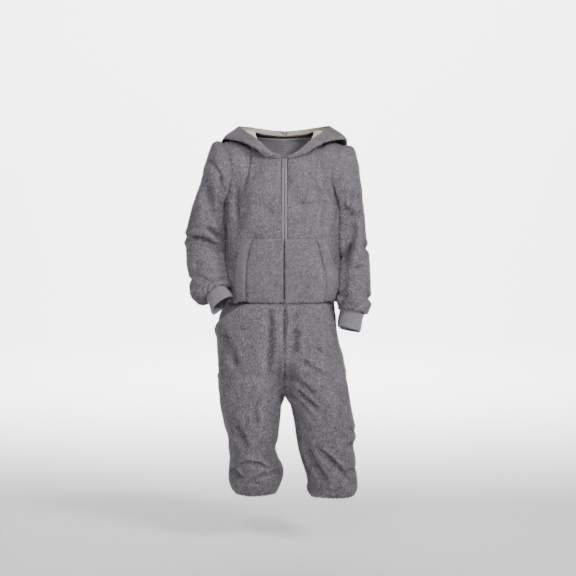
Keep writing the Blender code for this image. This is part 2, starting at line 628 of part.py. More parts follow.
def fold_depth(points, normals, fold):
    """How deep one fold is at each point."""
    _name, side, x0, z0, x1, z1, x2, z2, depth, width = fold
    t = np.linspace(0, 1, 25)
    bend = np.array([2 * x1 - (x0 + x2) / 2, 2 * z1 - (z0 + z2) / 2])
    path = np.outer((1 - t) ** 2, (x0, z0)) + np.outer(2 * t * (1 - t), bend)
    path = path + np.outer(t**2, (x2, z2))
    away = points[:, None, [0, 2]] - path[None]
    distance = np.linalg.norm(away, axis=2)
    nearest = distance.argmin(axis=1)
    taper = np.sin(math.pi * np.clip(t[nearest], 0.06, 0.94)) ** 0.6
    facing = np.clip(side * normals[:, 1] * 1.8, 0, 1)
    return depth * taper * facing * np.exp(-((distance.min(axis=1) / width) ** 2))


def fold(sheets):
    """All folds pressed into or raised on the sheets, along their normals."""
    for sheet in sheets:
        flat = sheet["points"].reshape(-1, 3)
        normals = sheet["normals"].reshape(-1, 3)
        depth = sum(fold_depth(flat, normals, row) for row in FOLDS)
        sheet["points"] = (flat - normals * depth[:, None]).reshape(sheet["points"].shape)


def rim_of(faces):
    """Edges that only one face has, each in that face's direction."""
    edges = {}
    for face in faces:
        for start, end in zip(face, face[1:] + face[:1]):
            edges[(start, end)] = True
    return [edge for edge in edges if edge[::-1] not in edges]


def drawn_back(flat, faces, rim):
    """The skin's edge points moved towards its middle, to leave the seam's gap."""
    centres = {}
    for face in faces:
        centre = flat[list(face)].mean(axis=0)
        for index in face:
            centres.setdefault(index, []).append(centre)
    moved = flat.copy()
    for index in {point for edge in rim for point in edge}:
        towards = np.mean(centres[index], axis=0) - flat[index]
        corner = 1.5 if len(centres[index]) == 1 else 1.0
        moved[index] = flat[index] + unit(towards) * SEAM_PULL * corner
    return moved


def material(name):
    """The Principled material of this name, made once."""
    if name in bpy.data.materials:
        return bpy.data.materials[name]
    red, green, blue, roughness, metallic = COLOURS[name]
    made = bpy.data.materials.new(name)
    made.use_nodes = True
    shader = made.node_tree.nodes["Principled BSDF"]
    shader.inputs["Base Color"].default_value = (red, green, blue, 1)
    shader.inputs["Roughness"].default_value = roughness
    shader.inputs["Metallic"].default_value = metallic
    made.diffuse_color = (red, green, blue, 1)
    return made


def add_mesh(name, points, faces, finish):
    """A smooth-shaded mesh object in the garment's collection."""
    mesh = bpy.data.meshes.new(name)
    mesh.from_pydata([tuple(point) for point in points], [], faces)
    mesh.materials.append(material(finish))
    mesh.shade_smooth()
    thing = bpy.data.objects.new(name, mesh)
    bpy.data.collections["onesie"].objects.link(thing)
    return thing


def add_wall(name, sheet, thickness, finish):
    """The closed wall between a sheet's outer skin and the same skin moved inwards."""
    faces = [half for a, b, c, d in sheet["faces"] for half in ((a, b, c), (a, c, d))]
    rim = rim_of(faces)
    outer = sheet["points"].reshape(-1, 3)
    inner = outer - sheet["normals"].reshape(-1, 3) * thickness
    outer = drawn_back(outer, faces, rim)
    inner = drawn_back(inner, faces, rim)
    count = len(outer)
    solid = list(faces)
    solid += [tuple(index + count for index in face[::-1]) for face in faces]
    solid += [(end, start, start + count, end + count) for start, end in rim]
    return add_mesh(name, np.concatenate([outer, inner]), solid, finish)


# ---------------------------------------------------------------- pieces


def fleece_sheets():
    """Every grid that meets another at a seam, by node name."""
    sheets = {}
    for name in SIDES:
        right = name == "right"
        sheets[f"front_{name}"] = sheet_of(bodice_half(name, -1), flip=right)
        sheets[f"leg_front_{name}"] = sheet_of(leg_half(name, -1), flip=not right)
        sheets[f"leg_back_{name}"] = sheet_of(leg_half(name, 1), flip=right)
        sheets[f"sleeve_{name}"] = sheet_of(sleeve_grid(name), closed=True, flip=not right)
    sheets["back"] = sheet_of(bodice_back(), flip=True)
    return sheets


def clear_sleeves(sheets):
    """Each sleeve moved clear of the bodice and the leg below its armhole."""
    for name in SIDES:
        near = ("front_right", "front_left", "back", f"leg_front_{name}", f"leg_back_{name}")
        tree = skin_tree(*(sheets[key] for key in near))
        points = sheets[f"sleeve_{name}"]["points"]
        for row in range(1, SLEEVE_ROWS + 1):
            points[row] = rest_on(points[row], tree, min(SLEEVE_CLEARANCE, 0.0012 * row))


def add_cuff(name, sheets):
    """A rib tube from the sleeve's end to the hand."""
    ring = sheets[f"sleeve_{name}"]["points"][-1]
    axis = unit(np.array(CUFF_AXIS[name]))
    centre = ring.mean(axis=0)
    out = unit(ring - centre)
    out = unit(out - np.outer(out @ axis, axis))
    rows = []
    for part in np.linspace(0, 1, 5):
        even = centre + out * CUFF_HALF
        start = centre + (ring - centre) * CUFF_START - axis * CUFF_TUCK[name]
        blend = min(1.0, part * 1.5)
        rows.append(start * (1 - blend) + even * blend + axis * CUFF_LENGTH[name] * part)
    rows = rest_on(np.stack(rows), skin_tree(sheets[f"sleeve_{name}"]), 0.0001)
    body = (f"front_{name}", f"leg_front_{name}", f"leg_back_{name}")
    rows = rest_on(rows, skin_tree(*(sheets[key] for key in body)), SLEEVE_CLEARANCE)
    sheet = sheet_of(rows, closed=True, flip=name == "left")
    shared_normals([sheet])
    add_wall(f"cuff_{name}", sheet, RIB, "rib")


def add_hood(bodice_tree):
    """Two outer halves, seamed at the centre back, and a lining inside each."""
    points = hood_grid()
    last = len(points) - 1
    for row in range(last + 1):
        share = min(1.0, min(row, last - row) / NECK_COLUMNS)
        clearance = np.linspace(0.0008, 0.0008 + HOOD_CLEARANCE * share, HOOD_PROFILE + 1)
        for column, gap in enumerate(clearance):
            place = points[row, column : column + 1]
            for _again in range(2):
                place = rest_on(place, bodice_tree, gap)
            points[row, column] = place[0]
    for _again in range(3):
        points[:, 1:] = ease_faces(points[:, 1:], bodice_tree, HOOD_CLEARANCE / 2)
    middle = 2 * NECK_COLUMNS
    points[middle, :, 0] = 0
    halves = {"right": points[: middle + 1], "left": points[middle:]}
    outer = {name: sheet_of(half) for name, half in halves.items()}
    shared_normals(outer.values())
    lining = {}
    for name, sheet in outer.items():
        add_wall(f"hood_{name}", sheet, HOOD_CLOTH, "fleece")
        lining[name] = sheet_of(turned_early(sheet))
    shared_normals(lining.values())
    for name, sheet in lining.items():
        add_wall(f"hood_lining_{name}", sheet, LINING, "lining")


def turned_early(sheet):
    """Points of a lining inside the hood, which turns short of the tip of a tight fold."""
    points = sheet["points"] - sheet["normals"] * (HOOD_CLOTH + LINING_GAP)
    loose, tight = TIGHT_FOLD
    for row, line in enumerate(points):
        low, high, tip = line[TIP - 2].copy(), line[TIP + 2].copy(), line[TIP].copy()
        width = np.linalg.norm(high - low)
        facing = -sheet["normals"][row, TIP - 2] @ sheet["normals"][row, TIP + 2]
        share = np.clip((loose - width) / (loose - tight), 0, 1) * np.clip(facing * 3, 0, 1)
        ahead = tip - (low + high) / 2
        ahead = ahead * min(TURN_REACH[0], TURN_REACH[1] * width / np.linalg.norm(ahead))
        near, far = TURN_SPREAD
        turn = (low * near + high * (1 - near) + ahead * far, (low + high) / 2 + ahead,
                low * (1 - near) + high * near + ahead * far)
        for column, place in zip((TIP - 1, TIP, TIP + 1), turn):
            line[column] = line[column] * (1 - share) + place * share
    return points


def pocket_points(name, front, row_parts, column_parts):
    """Points on the front panel between the pocket's edges, moved out by its stand-off."""
    side = SIDES[name]
    table = np.asarray(sorted(POCKET_OPENING), float)
    points = np.zeros((len(row_parts), len(column_parts), 3))
    normals = np.zeros_like(points)
    for row, down in enumerate(row_parts):
        height = table[-1, 0] + (table[0, 0] - table[-1, 0]) * down
        reach = read(POCKET_OPENING, height)[1 if side > 0 else 0]
        for column, across in enumerate(column_parts):
            x = side * (POCKET_INNER + (reach - POCKET_INNER) * across)
            place, normal = on_panel(front, x, height)
            lift = POCKET_SEAT + POCKET_CLOTH
            opening = math.sin(math.pi * min(max(down, 0.02), 0.98)) ** 0.8
            lift += POCKET_GAPE[name] * opening * max(0, across - 0.25) / 0.75
            points[row, column] = place + normal * lift
            normals[row, column] = normal
    return points, normals


def on_panel(sheet, x, height):
    """The panel's point and normal at this place seen from the front, between its own points."""
    points, normals = sheet["points"], sheet["normals"]
    rows = points[: BODICE_ROWS + 1, :, 2].mean(axis=1)
    place = np.interp(height, rows, np.arange(BODICE_ROWS + 1))
    low = min(int(place), BODICE_ROWS - 1)
    part = place - low
    line = points[low] * (1 - part) + points[low + 1] * part
    turned = normals[low] * (1 - part) + normals[low + 1] * part
    order = np.argsort(np.abs(line[:, 0]))
    across = np.interp(abs(x), np.abs(line[order, 0]), np.arange(len(line)))
    near = min(int(across), len(line) - 2)
    share = across - near
    found = line[near] * (1 - share) + line[near + 1] * share
    normal = turned[near] * (1 - share) + turned[near + 1] * share
    found[0] = x
    return found, unit(normal)


def add_pockets(sheets):
    """Each kangaroo pocket half, and the band along its slanted opening."""
    for name in SIDES:
        front = sheets[f"front_{name}"]
        split = 1 - POCKET_BAND / 0.11
        columns = list(np.linspace(0, split, 6)) + [(1 + split) / 2, 1.0]
        rows = np.linspace(0, 1, POCKET_ROWS + 1)
        points, normals = pocket_points(name, front, rows, columns)
        round_corner(points)
        right = name == "right"
        for node, part in ((f"pocket_{name}", slice(0, 6)), (f"pocket_band_{name}", slice(5, 8))):
            sheet = sheet_of(points[:, part], flip=not right)
            sheet["normals"] = normals[:, part]
            add_wall(node, sheet, POCKET_CLOTH, "fleece")


def round_corner(points):
    """The upper outer corner drawn in, as the stitched band turns there."""
    corner = points[0, -1]
    points[0, -1] = corner + (points[1, -2] - corner) * 0.28


def add_facings(sheets):
    """The cloth behind each slant hip pocket's opening."""
    for name in SIDES:
        sheet = sheet_of(facing_grid(name), flip=name == "left")
        shared_normals([sheet])
        sheet["points"][0, :, 2] -= 0.0004
        add_wall(f"hip_pocket_{name}", sheet, FLEECE * 0.8, "fleece")


def front_line(height):
    """How far forward the centre front is at this height."""
    half = bodice_half("right", -1)[:, 0] if height > WAIST_Z else leg_half("right", -1)[:, 0]
    order = np.argsort(half[:, 2])
    return float(np.interp(height, half[order, 2], half[order, 1]))


def add_zip():
    """Two tapes, side by side under the edges of the fronts."""
    top, bottom = ZIP_DEPTH[0][0], ZIP_DEPTH[-1][0]
    heights = np.linspace(top, bottom, ZIP_ROWS)
    heights[1] = SLIDER_TOP_Z - SLIDER_NECK[1] - 0.0006
    heights[2] = heights[1] - 0.0020
    for name, side in SIDES.items():
        rows = []
        for height in heights:
            y = front_line(height) + np.interp(-height, *zip(*[(-z, d) for z, d in ZIP_DEPTH]))
            inner = ZIP_MOUTH if height > heights[2] + 1e-6 else ZIP_TAPE_GAP
            rows.append([(side * inner, y, height), (side * ZIP_TAPE_EDGE, y, height)])
        sheet = sheet_of(np.array(rows), flip=name == "left")
        shared_normals([sheet])
        add_wall(f"zip_tape_{name}", sheet, ZIP_TAPE, "tape")


# ---------------------------------------------------------------- zip slider and pull


def zip_lean():
    """How far the zip's line at the slider leans forward on its way down, in radians."""
    high, low = front_line(SLIDER_TOP_Z), front_line(SLIDER_TOP_Z - 0.03)
    return math.atan2(high - low, 0.03)


def add_box(name, centre, size, finish="slider"):
    """A box on its own, in the slider's frame."""
    bpy.ops.mesh.primitive_cube_add(size=1, location=centre)
    thing = bpy.context.object
    thing.name = name
    thing.data.name = name
    thing.scale = size
    bpy.context.view_layer.update()
    bpy.ops.object.transform_apply(location=True, rotation=True, scale=True)
    thing.data.materials.append(material(finish))
    for group in list(thing.users_collection):
        group.objects.unlink(thing)
    bpy.data.collections["onesie"].objects.link(thing)
    return thing


def make_cutter(thing):
    """A helper that only shapes another piece."""
    for group in list(thing.users_collection):
        group.objects.unlink(thing)
    bpy.data.collections["cutters"].objects.link(thing)
    thing.hide_render = True
    thing.display_type = "WIRE"
    return thing


def combine(thing, helper, operation):
    """A Boolean modifier with a helper object."""
    step = thing.modifiers.new(helper.name, "BOOLEAN")
    step.object = make_cutter(helper)
    step.operation = operation


def slider_frame():
    """An empty at the slider's top, on the zip's surface, leaning as the zip does."""
    frame = bpy.data.objects.new("slider_frame", None)
    depth = ZIP_DEPTH[0][1]
    frame.location = (0, front_line(SLIDER_TOP_Z) + depth, SLIDER_TOP_Z)
    frame.rotation_euler = (-zip_lean(), 0, 0)
    bpy.data.collections["onesie"].objects.link(frame)
    return frame


def bail_axis():
    """The hinge axis in the slider's frame: y and z."""
    width, plate, _height = SLIDER
    y = -SLIDER_GAP - plate - BAIL[3] + BAIL[1] + 0.0006 + PULL[1] / 2
    return y, -0.0020 - BAIL[2] / 2


def add_slider(frame):
    """Two plates joined by a neck, with a bail on the front one."""
    width, plate, height = SLIDER
    front_y = -SLIDER_GAP - plate / 2
    body = add_box("zip_slider", (0, front_y, -height / 2), (width, plate, height))
    rear_y = ZIP_TAPE + SLIDER_GAP + plate / 2
    rear = add_box("rear_plate", (0, rear_y, -height / 2), (width, plate, height))
    neck_w, neck_h = SLIDER_NECK
    depth = rear_y - front_y
    neck = add_box("neck", (0, (rear_y + front_y) / 2, -neck_h / 2), (neck_w, depth, neck_h))
    bail_w, wire, bail_h, stand = BAIL
    top_z = -0.0020
    outer = add_box("bail", (0, front_y - plate / 2 - stand / 2 + 0.0002, top_z - bail_h / 2),
                    (bail_w, stand + 0.0004, bail_h))
    hollow = add_box("bail_hollow", (0, front_y - plate / 2 - (stand - wire) / 2, top_z - bail_h / 2),
                     (bail_w * 3, stand - wire, bail_h - 2 * wire))
    combine(outer, hollow, "DIFFERENCE")
    for piece in (rear, neck, outer):
        combine(body, piece, "UNION")
    body.parent = frame
    for piece in (rear, neck, outer, hollow):
        piece.parent = frame
    return body


def add_pull(frame):
    """The tab that hangs from the bail, with its origin on the hinge axis."""
    width, thick, length = PULL
    hole_w, hole_l = PULL_HOLE
    y, z = bail_axis()
    hinge = bpy.data.objects.new("pull_hinge", None)
    hinge.location = (0, y, z)
    hinge.parent = frame
    bpy.data.collections["onesie"].objects.link(hinge)
    bar = 0.0006
    tab = add_box("zip_pull", (0, 0, (bar - length) / 2), (width, thick, length + bar))
    hole = add_box("pull_hole", (0, 0, -bar - hole_l / 2), (hole_w, thick * 3, hole_l))
    combine(tab, hole, "DIFFERENCE")
    tab.parent = hinge
    hole.parent = hinge


def clear_scene():
    """Empties the startup scene and makes the two collections."""
    for thing in list(bpy.data.objects):
        bpy.data.objects.remove(thing, do_unlink=True)
    for name in ("onesie", "cutters"):
        group = bpy.data.collections.new(name)
        bpy.context.scene.collection.children.link(group)


def main():
    clear_scene()
    sheets = fleece_sheets()
    seam_normals(sheets)
    fold(sheets.values())
    clear_sleeves(sheets)
    seam_normals(sheets)
    bodice = [sheets[name] for name in ("front_right", "front_left", "back")]
    shoulders = skin_tree(*bodice, sheets["sleeve_right"], sheets["sleeve_left"])
    for name in SIDES:
        leg = sheets[f"leg_front_{name}"]
        leg["points"] = gape_of(leg["points"], name, HIP_POCKET_GAPE[name])
    for name, sheet in sheets.items():
        add_wall(name, sheet, FLEECE, "fleece")
    for name in SIDES:
        add_cuff(name, sheets)
    add_hood(shoulders)
    add_pockets(sheets)
    add_facings(sheets)
    add_zip()
    frame = slider_frame()
    add_slider(frame)
    add_pull(frame)


main()
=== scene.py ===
# %% [markdown]
# # A child's hooded plush onesie
#
# This notebook dresses a plain solid model in cloth. The solids already have the right shape and
# size, so each lesson turns some of them into what a person would touch: plush with its pile,
# smooth lining, rib knit, zip tape, and a painted metal slider. The garment's size stays what it
# was, to about three millimetres.

# %% Load the solid model
import math
from collections import Counter
from functools import partialmethod

import bmesh
import bpy
import numpy as np
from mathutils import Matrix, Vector, noise
from mathutils.bvhtree import BVHTree
from mathutils.kdtree import KDTree


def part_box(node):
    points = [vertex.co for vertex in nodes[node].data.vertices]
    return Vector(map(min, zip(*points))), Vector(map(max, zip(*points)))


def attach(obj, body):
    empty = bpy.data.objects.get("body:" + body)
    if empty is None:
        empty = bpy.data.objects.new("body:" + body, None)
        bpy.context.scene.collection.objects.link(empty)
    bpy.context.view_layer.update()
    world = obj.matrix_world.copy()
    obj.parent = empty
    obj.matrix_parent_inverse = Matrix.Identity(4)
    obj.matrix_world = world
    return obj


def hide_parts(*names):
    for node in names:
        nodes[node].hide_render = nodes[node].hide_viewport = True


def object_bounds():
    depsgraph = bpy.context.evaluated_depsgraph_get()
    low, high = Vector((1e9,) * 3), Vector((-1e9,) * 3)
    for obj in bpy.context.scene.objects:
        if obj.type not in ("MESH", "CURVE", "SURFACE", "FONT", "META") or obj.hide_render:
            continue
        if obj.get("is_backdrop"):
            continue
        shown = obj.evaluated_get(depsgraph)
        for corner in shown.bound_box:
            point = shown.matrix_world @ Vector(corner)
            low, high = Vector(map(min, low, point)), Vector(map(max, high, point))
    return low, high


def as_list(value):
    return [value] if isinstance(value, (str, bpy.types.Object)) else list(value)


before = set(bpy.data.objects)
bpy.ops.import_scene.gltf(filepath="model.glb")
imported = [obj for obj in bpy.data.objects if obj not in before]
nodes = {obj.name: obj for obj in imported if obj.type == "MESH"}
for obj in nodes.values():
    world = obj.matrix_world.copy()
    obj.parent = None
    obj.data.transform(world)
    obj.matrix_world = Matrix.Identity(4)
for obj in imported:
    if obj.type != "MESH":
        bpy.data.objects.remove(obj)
cad_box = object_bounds()
MM = 0.001
SIDES = ("right", "left")
chance = np.random.default_rng(20)
print("solids:", len(nodes), "box in mm:", [[round(v / MM) for v in corner] for corner in cad_box])

# %% [markdown]
# ## The camera, the floor and the light
#
# A long lens, nearly four metres away at the height of the chest, keeps the onesie's sides nearly
# parallel. The light is what a clothes catalogue uses: a strong soft lamp high at the right, a
# weaker one in front to fill its shadows, one above and one behind. The round pale studio, whose
# floor bends up into a brightly lit wall, sends light back.

# %% Camera
CAMERA_PLACE = Vector((0.009, -3.76, -0.1))
CAMERA_AIM = Vector((0.009, -0.05, -0.372))
VIEW_WIDTH = 1.469  # metres across the picture, at the distance of the aim


def put(name, data):
    """A new object in the scene."""
    thing = bpy.data.objects.new(name, data)
    bpy.context.scene.collection.objects.link(thing)
    return thing


def aimed(name, data, place, aim):
    """A camera or a lamp that stands at a place and points at another."""
    thing = put(name, data)
    thing.location = place
    thing.rotation_euler = (Vector(aim) - thing.location).to_track_quat("-Z", "Y").to_euler()
    return thing


lens = bpy.data.cameras.new("camera")
bpy.context.scene.camera = aimed("camera", lens, CAMERA_PLACE, CAMERA_AIM)
lens.sensor_fit = "HORIZONTAL"
lens.angle = 2 * math.atan(VIEW_WIDTH / 2 / (CAMERA_AIM - CAMERA_PLACE).length)
lens.clip_end = 50
print("lens of", round(lens.lens), "mm")

# %% A class for shader sums
# Shader maths reads best as plain sums, so this class wraps a socket and lets Python's own
# operators add the Math nodes.
class Wire:
    def __init__(self, paint, socket):
        self.paint, self.socket = paint, socket

    def sum(self, operation, other, swapped=False):
        pair = (other, self) if swapped else (self, other)
        return self.paint.node("ShaderNodeMath", {"operation": operation}, dict(enumerate(pair)))

    __add__ = __radd__ = partialmethod(sum, "ADD")
    __mul__ = __rmul__ = partialmethod(sum, "MULTIPLY")
    __sub__ = partialmethod(sum, "SUBTRACT")
    __rsub__ = partialmethod(sum, "SUBTRACT", swapped=True)


class Paint:
    """A material, and the one method that adds any node to it."""

    def __init__(self, name, **fixed):
        self.material = bpy.data.materials.new(name)
        self.material.use_nodes = True
        self.tree = self.material.node_tree
        self.shader = self.tree.nodes["Principled BSDF"]
        for socket, value in fixed.items():
            self.shader.inputs[socket.replace("_", " ")].default_value = value

    def node(self, kind, settings=None, inputs=None, output=0):
        made = self.tree.nodes.new(kind)
        for key, value in (settings or {}).items():
            setattr(made, key, value)
        for key, value in (inputs or {}).items():
            if isinstance(value, Wire):
                self.tree.links.new(value.socket, made.inputs[key])
            else:
                made.inputs[key].default_value = value
        return Wire(self, made.outputs[output])

    def place(self, scale=(1, 1, 1)):
        """Object coordinates in metres, stretched by scale."""
        where = self.node("ShaderNodeTexCoord", output=3)
        return self.node("ShaderNodeMapping", None, {"Vector": where, "Scale": scale})

    def noise(self, size, where=None, detail=2.0):
        """Soft noise from 0 to 1 whose blobs are about this size in metres."""
        return self.node("ShaderNodeTexNoise", None, {
            "Vector": where or self.place(), "Scale": 1 / size, "Detail": detail})

    def mix(self, share, first, second):
        return self.node("ShaderNodeMix", {"data_type": "RGBA"},
                         {0: share, 6: first, 7: second}, output=2)

    def feed(self, **links):
        for socket, wire in links.items():
            self.tree.links.new(wire.socket, self.shader.inputs[socket.replace("_", " ")])

    def bump(self, height, distance, strength=1.0):
        self.feed(Normal=self.node("ShaderNodeBump", None, {
            "Height": height, "Distance": distance, "Strength": strength}))


print("wires can be added, subtracted and multiplied")

# %% Floor and wall
PAPER, PAPER_GRAIN = (0.92, 0.92, 0.92, 1), (0.8924, 0.8924, 0.8924, 1)


def paper():
    """White paper, with a faint grain so that it isn't a flat colour."""
    paint = Paint("studio_paper", Roughness=0.9)
    paint.feed(Base_Color=paint.mix(paint.noise(0.004), PAPER_GRAIN, PAPER))
    return paint.material


def grid_quads(rows, columns, closed):
    """Quads between the points of a grid."""
    first = np.arange(rows - 1)[:, None] * columns
    here = np.arange(columns if closed else columns - 1)[None]
    there = (here + 1) % columns
    return np.stack([first + here, first + there, first + columns + there,
                     first + columns + here], axis=-1).reshape(-1, 4)


def add_mesh(name, points, faces, material):
    """A smooth mesh object in the scene."""
    mesh = bpy.data.meshes.new(name)
    mesh.from_pydata(np.asarray(points).tolist(), [],
                     faces if isinstance(faces, list) else faces.tolist())
    mesh.materials.append(material)
    mesh.shade_smooth()
    return put(name, mesh)


FLOOR_Z = cad_box[0][2] - 0.13  # the legs end well above the ankles
STUDIO_RADIUS, STUDIO_BEND, STUDIO_HEIGHT = 7.0, 2.0, 5.0


def add_studio(turns=72, steps=12):
    """A round studio: the floor bends up into a wall on every side."""
    line = [(0.02, 0), (STUDIO_RADIUS - STUDIO_BEND, 0)]
    for step in range(1, steps + 1):
        bend = step / steps * math.pi / 2
        line.append((STUDIO_RADIUS - STUDIO_BEND * (1 - math.sin(bend)),
                     STUDIO_BEND * (1 - math.cos(bend))))
    line.append((STUDIO_RADIUS, STUDIO_HEIGHT))
    turn = np.arange(turns) / turns * 2 * math.pi
    points = [(r * math.cos(a), r * math.sin(a), FLOOR_Z + z) for r, z in line for a in turn]
    faces = grid_quads(len(line), turns, True).tolist() + [list(range(turns))[::-1]]
    return add_mesh("studio_floor", points, faces, paper())


add_studio()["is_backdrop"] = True
print("floor at", round(FLOOR_Z, 3))

# %% Lamps
GARMENT = (0, 0, -0.4)
LAMPS = (
    # name, place, what it points at, size, watts, spread in degrees
    ("key", (2.2, -2.4, 1.7), (0, 0, 0.1), 0.9, 19, 70),
    ("front", (-0.5, -3.5, 1.8), (0, 0, 0.1), 1.4, 10.5, 70),
    ("top", (-0.3, -0.3, 2.6), GARMENT, 1.8, 13, 180),
    ("rear", (0.0, 2.0, 1.6), GARMENT, 2.0, 12, 180),
    ("wall", (0.0, 2.4, 2.6), (0, 7, 0.2), 3.0, 1200, 180),
)
WORLD_LIGHT = 0.12

for name, place, aim, size, watts, spread in LAMPS:
    light = bpy.data.lights.new(name, "AREA")
    light.energy, light.size, light.spread = watts, size, math.radians(spread)
    aimed(name, light, place, aim)
world = bpy.context.scene.world or bpy.data.worlds.new("world")
bpy.context.scene.world = world
world.use_nodes = True
sky = world.node_tree.nodes["Background"].inputs
sky["Color"].default_value = (1, 1, 1, 1)
sky["Strength"].default_value = WORLD_LIGHT
print("lamps:", len(LAMPS))

# %% [markdown]
# ## Reading a solid's outer skin
#
# Each cloth solid is a closed wall: an outer skin, an inner skin, and a narrow rim between them.
# The rim's short posts are exactly as long as the cloth is thick, so the faces beside such posts
# are the rim, and what is left falls apart into the two skins. The skin's triangles come from a
# grid of quads. Each has an edge along a row, one along a column and a diagonal, and only the
# diagonals never lie on the border. Joining across them gives back the quads, which subdivide
# smoothly.

# %% Find the outer skin
THICKNESS = {"cuff": 2.8, "hood": 3.2, "pocket": 4.0, "pocket_band": 4.0, "hip_pocket": 4.0}  # mm
FLEECE = 5.0
SLACKS = (0.03, 0.06, 0.10, 0.15, 0.20, 0.30)  # mm that a post's length may be off


def kind_of(node):
    """The cloth, without its side."""
    return node.rsplit("_", 1)[0]


def side_of(node):
    return node.rsplit("_", 1)[-1]


def welded(node):
    """The node's corners, each once, and its triangles."""
    mesh = nodes[node].data
    places = np.array([vertex.co for vertex in mesh.vertices])
    faces = np.array([face.vertices for face in mesh.polygons])
    points, index = np.unique(np.round(places, 5), axis=0, return_inverse=True)
    return points, index.reshape(-1)[faces]


def edge_faces(faces):
    """Which face has each edge, by its two corners in the face's direction."""
    return {(face[k], face[(k + 1) % 3]): index
            for index, face in enumerate(faces) for k in range(3)}


def pieces_without(faces, owners, barred):
    """Groups of faces that hang together when the barred ones are taken out."""
    seen, groups = set(barred), []
    for start in range(len(faces)):
        if start in seen:
            continue
        seen.add(start)
        group, stack = [], [start]
        while stack:
            face = stack.pop()
            group.append(face)
            for k in range(3):
                other = owners[(faces[face][(k + 1) % 3], faces[face][k])]
                if other not in seen:
                    seen.add(other)
                    stack.append(other)
        groups.append(group)
    return sorted(groups, key=len, reverse=True)


def area_of(points, faces):
    a, b, c = (points[faces[:, k]] for k in range(3))
    return np.linalg.norm(np.cross(b - a, c - a), axis=1).sum() / 2


def outer_skin(node):
    """Points and triangles of the wall's outer skin."""
    points, triangles = welded(node)
    faces = triangles.tolist()
    owners = edge_faces(faces)
    thick = THICKNESS.get(kind_of(node), FLEECE) * MM
    for slack in SLACKS:
        rim = {face for (a, b), face in owners.items()
               if abs(np.linalg.norm(points[a] - points[b]) - thick) < slack * MM}
        groups = pieces_without(faces, owners, rim)
        if len(groups) > 1 and len(groups[0]) - len(groups[1]) <= 4 and len(groups[0]) % 2 == 0:
            break
    skins = [triangles[group] for group in groups[:2]]
    if len(skins[1]) == len(skins[0]):
        skins.sort(key=lambda skin: area_of(points, skin), reverse=True)
    return points, skins[0]


corners, triangles = outer_skin("back")
print("the back's skin has", len(triangles), "triangles")


# %% Quads in rows
def quads_of(faces):
    """Quads from a grid's triangles, joined across the diagonals."""
    faces = faces.tolist()
    owners = edge_faces(faces)
    names, stack = {0: 0}, [0]
    while stack:
        face = stack.pop()
        for k in range(3):
            a, b = faces[face][k], faces[face][(k + 1) % 3]
            other = owners.get((b, a))
            if other is None or other in names:
                continue
            names[other] = (names[face] + k - faces[other].index(b)) % 3
            stack.append(other)
    border = Counter((names[face] + faces[face].index(a)) % 3
                     for (a, b), face in owners.items() if (b, a) not in owners)
    diagonal = min(range(3), key=lambda k: border[k])
    quads = []
    for face, name in names.items():
        k = (diagonal - name) % 3
        a, b, c = (faces[face][(k + turn) % 3] for turn in range(3))
        other = owners.get((b, a))
        if other is not None and face < other:
            far = next(v for v in faces[other] if v not in (a, b))
            quads.append((b, c, a, far))
    return quads


def grid_of(points, quads):
    """The points as rows. A tube gives closed rings, and a panel gives rows from side to side."""
    after = {}
    for quad in quads:
        for k in range(4):
            after[(quad[k], quad[(k + 1) % 4])] = (quad[(k + 3) % 4], quad[(k + 2) % 4])
    border = {a: b for (a, b) in after if (b, a) not in after}
    uses = Counter(v for quad in quads for v in quad)
    corners = [v for v in border if uses[v] == 1]
    start = max(corners or border, key=lambda v: points[v][2])
    row = [start]
    while border[row[-1]] != start and (len(row) == 1 or row[-1] not in corners):
        row.append(border[row[-1]])
    closed = not corners
    rows = [row]
    while (row[0], row[1]) in after:
        edges = list(zip(row, row[1:]))
        row = [after[edge][0] for edge in edges]
        row.append(after[(rows[-1][-1], rows[-1][0])][0] if closed else after[edges[-1]][1])
        rows.append(row)
    return points[np.array(rows)], closed


print("the back's rows and columns:", grid_of(corners, quads_of(triangles))[0].shape[:2])


# %% A finer sheet
def curved(values, count, closed):
    """Resamples along the first axis on a smooth curve that passes through the values."""
    size = len(values)
    places = np.arange(count) * size / count if closed else np.linspace(0, size - 1, count)
    step = np.floor(places).astype(int)
    step = step if closed else np.minimum(step, size - 2)
    t = (places - step).reshape(-1, *[1] * (values.ndim - 1))

    def at(offset):
        index = step + offset
        if closed:
            return values[index % size]
        found = values[np.clip(index, 0, size - 1)].copy()
        found[index < 0] = 2 * values[0] - values[1]
        found[index >= size] = 2 * values[-1] - values[-2]
        return found

    a, b, c, d = at(-1), at(0), at(1), at(2)
    return b + 0.5 * t * (c - a + t * (2 * a - 5 * b + 4 * c - d + t * (3 * (b - c) + d - a)))


def finer(grid, rows, columns, closed):
    """The grid resampled to this many rows and columns."""
    tall = curved(grid, rows, False).transpose(1, 0, 2)
    return curved(tall, columns, closed).transpose(1, 0, 2)


def unit(vectors):
    return vectors / np.maximum(np.linalg.norm(vectors, axis=-1, keepdims=True), 1e-12)


def normals_of(points, quads):
    """Smooth normals at the points."""
    across = np.cross(points[quads[:, 2]] - points[quads[:, 0]],
                      points[quads[:, 3]] - points[quads[:, 1]])
    total = np.zeros_like(points)
    for k in range(4):
        np.add.at(total, quads[:, k], across)
    return unit(total)


# How many new cells lie along each side of an old one.
CUTS = {"back": 4, "front": 4, "sleeve": 6, "leg_front": 6, "leg_back": 6, "hip_pocket": 5,
        "hood": 6, "pocket": 6, "pocket_band": 6}


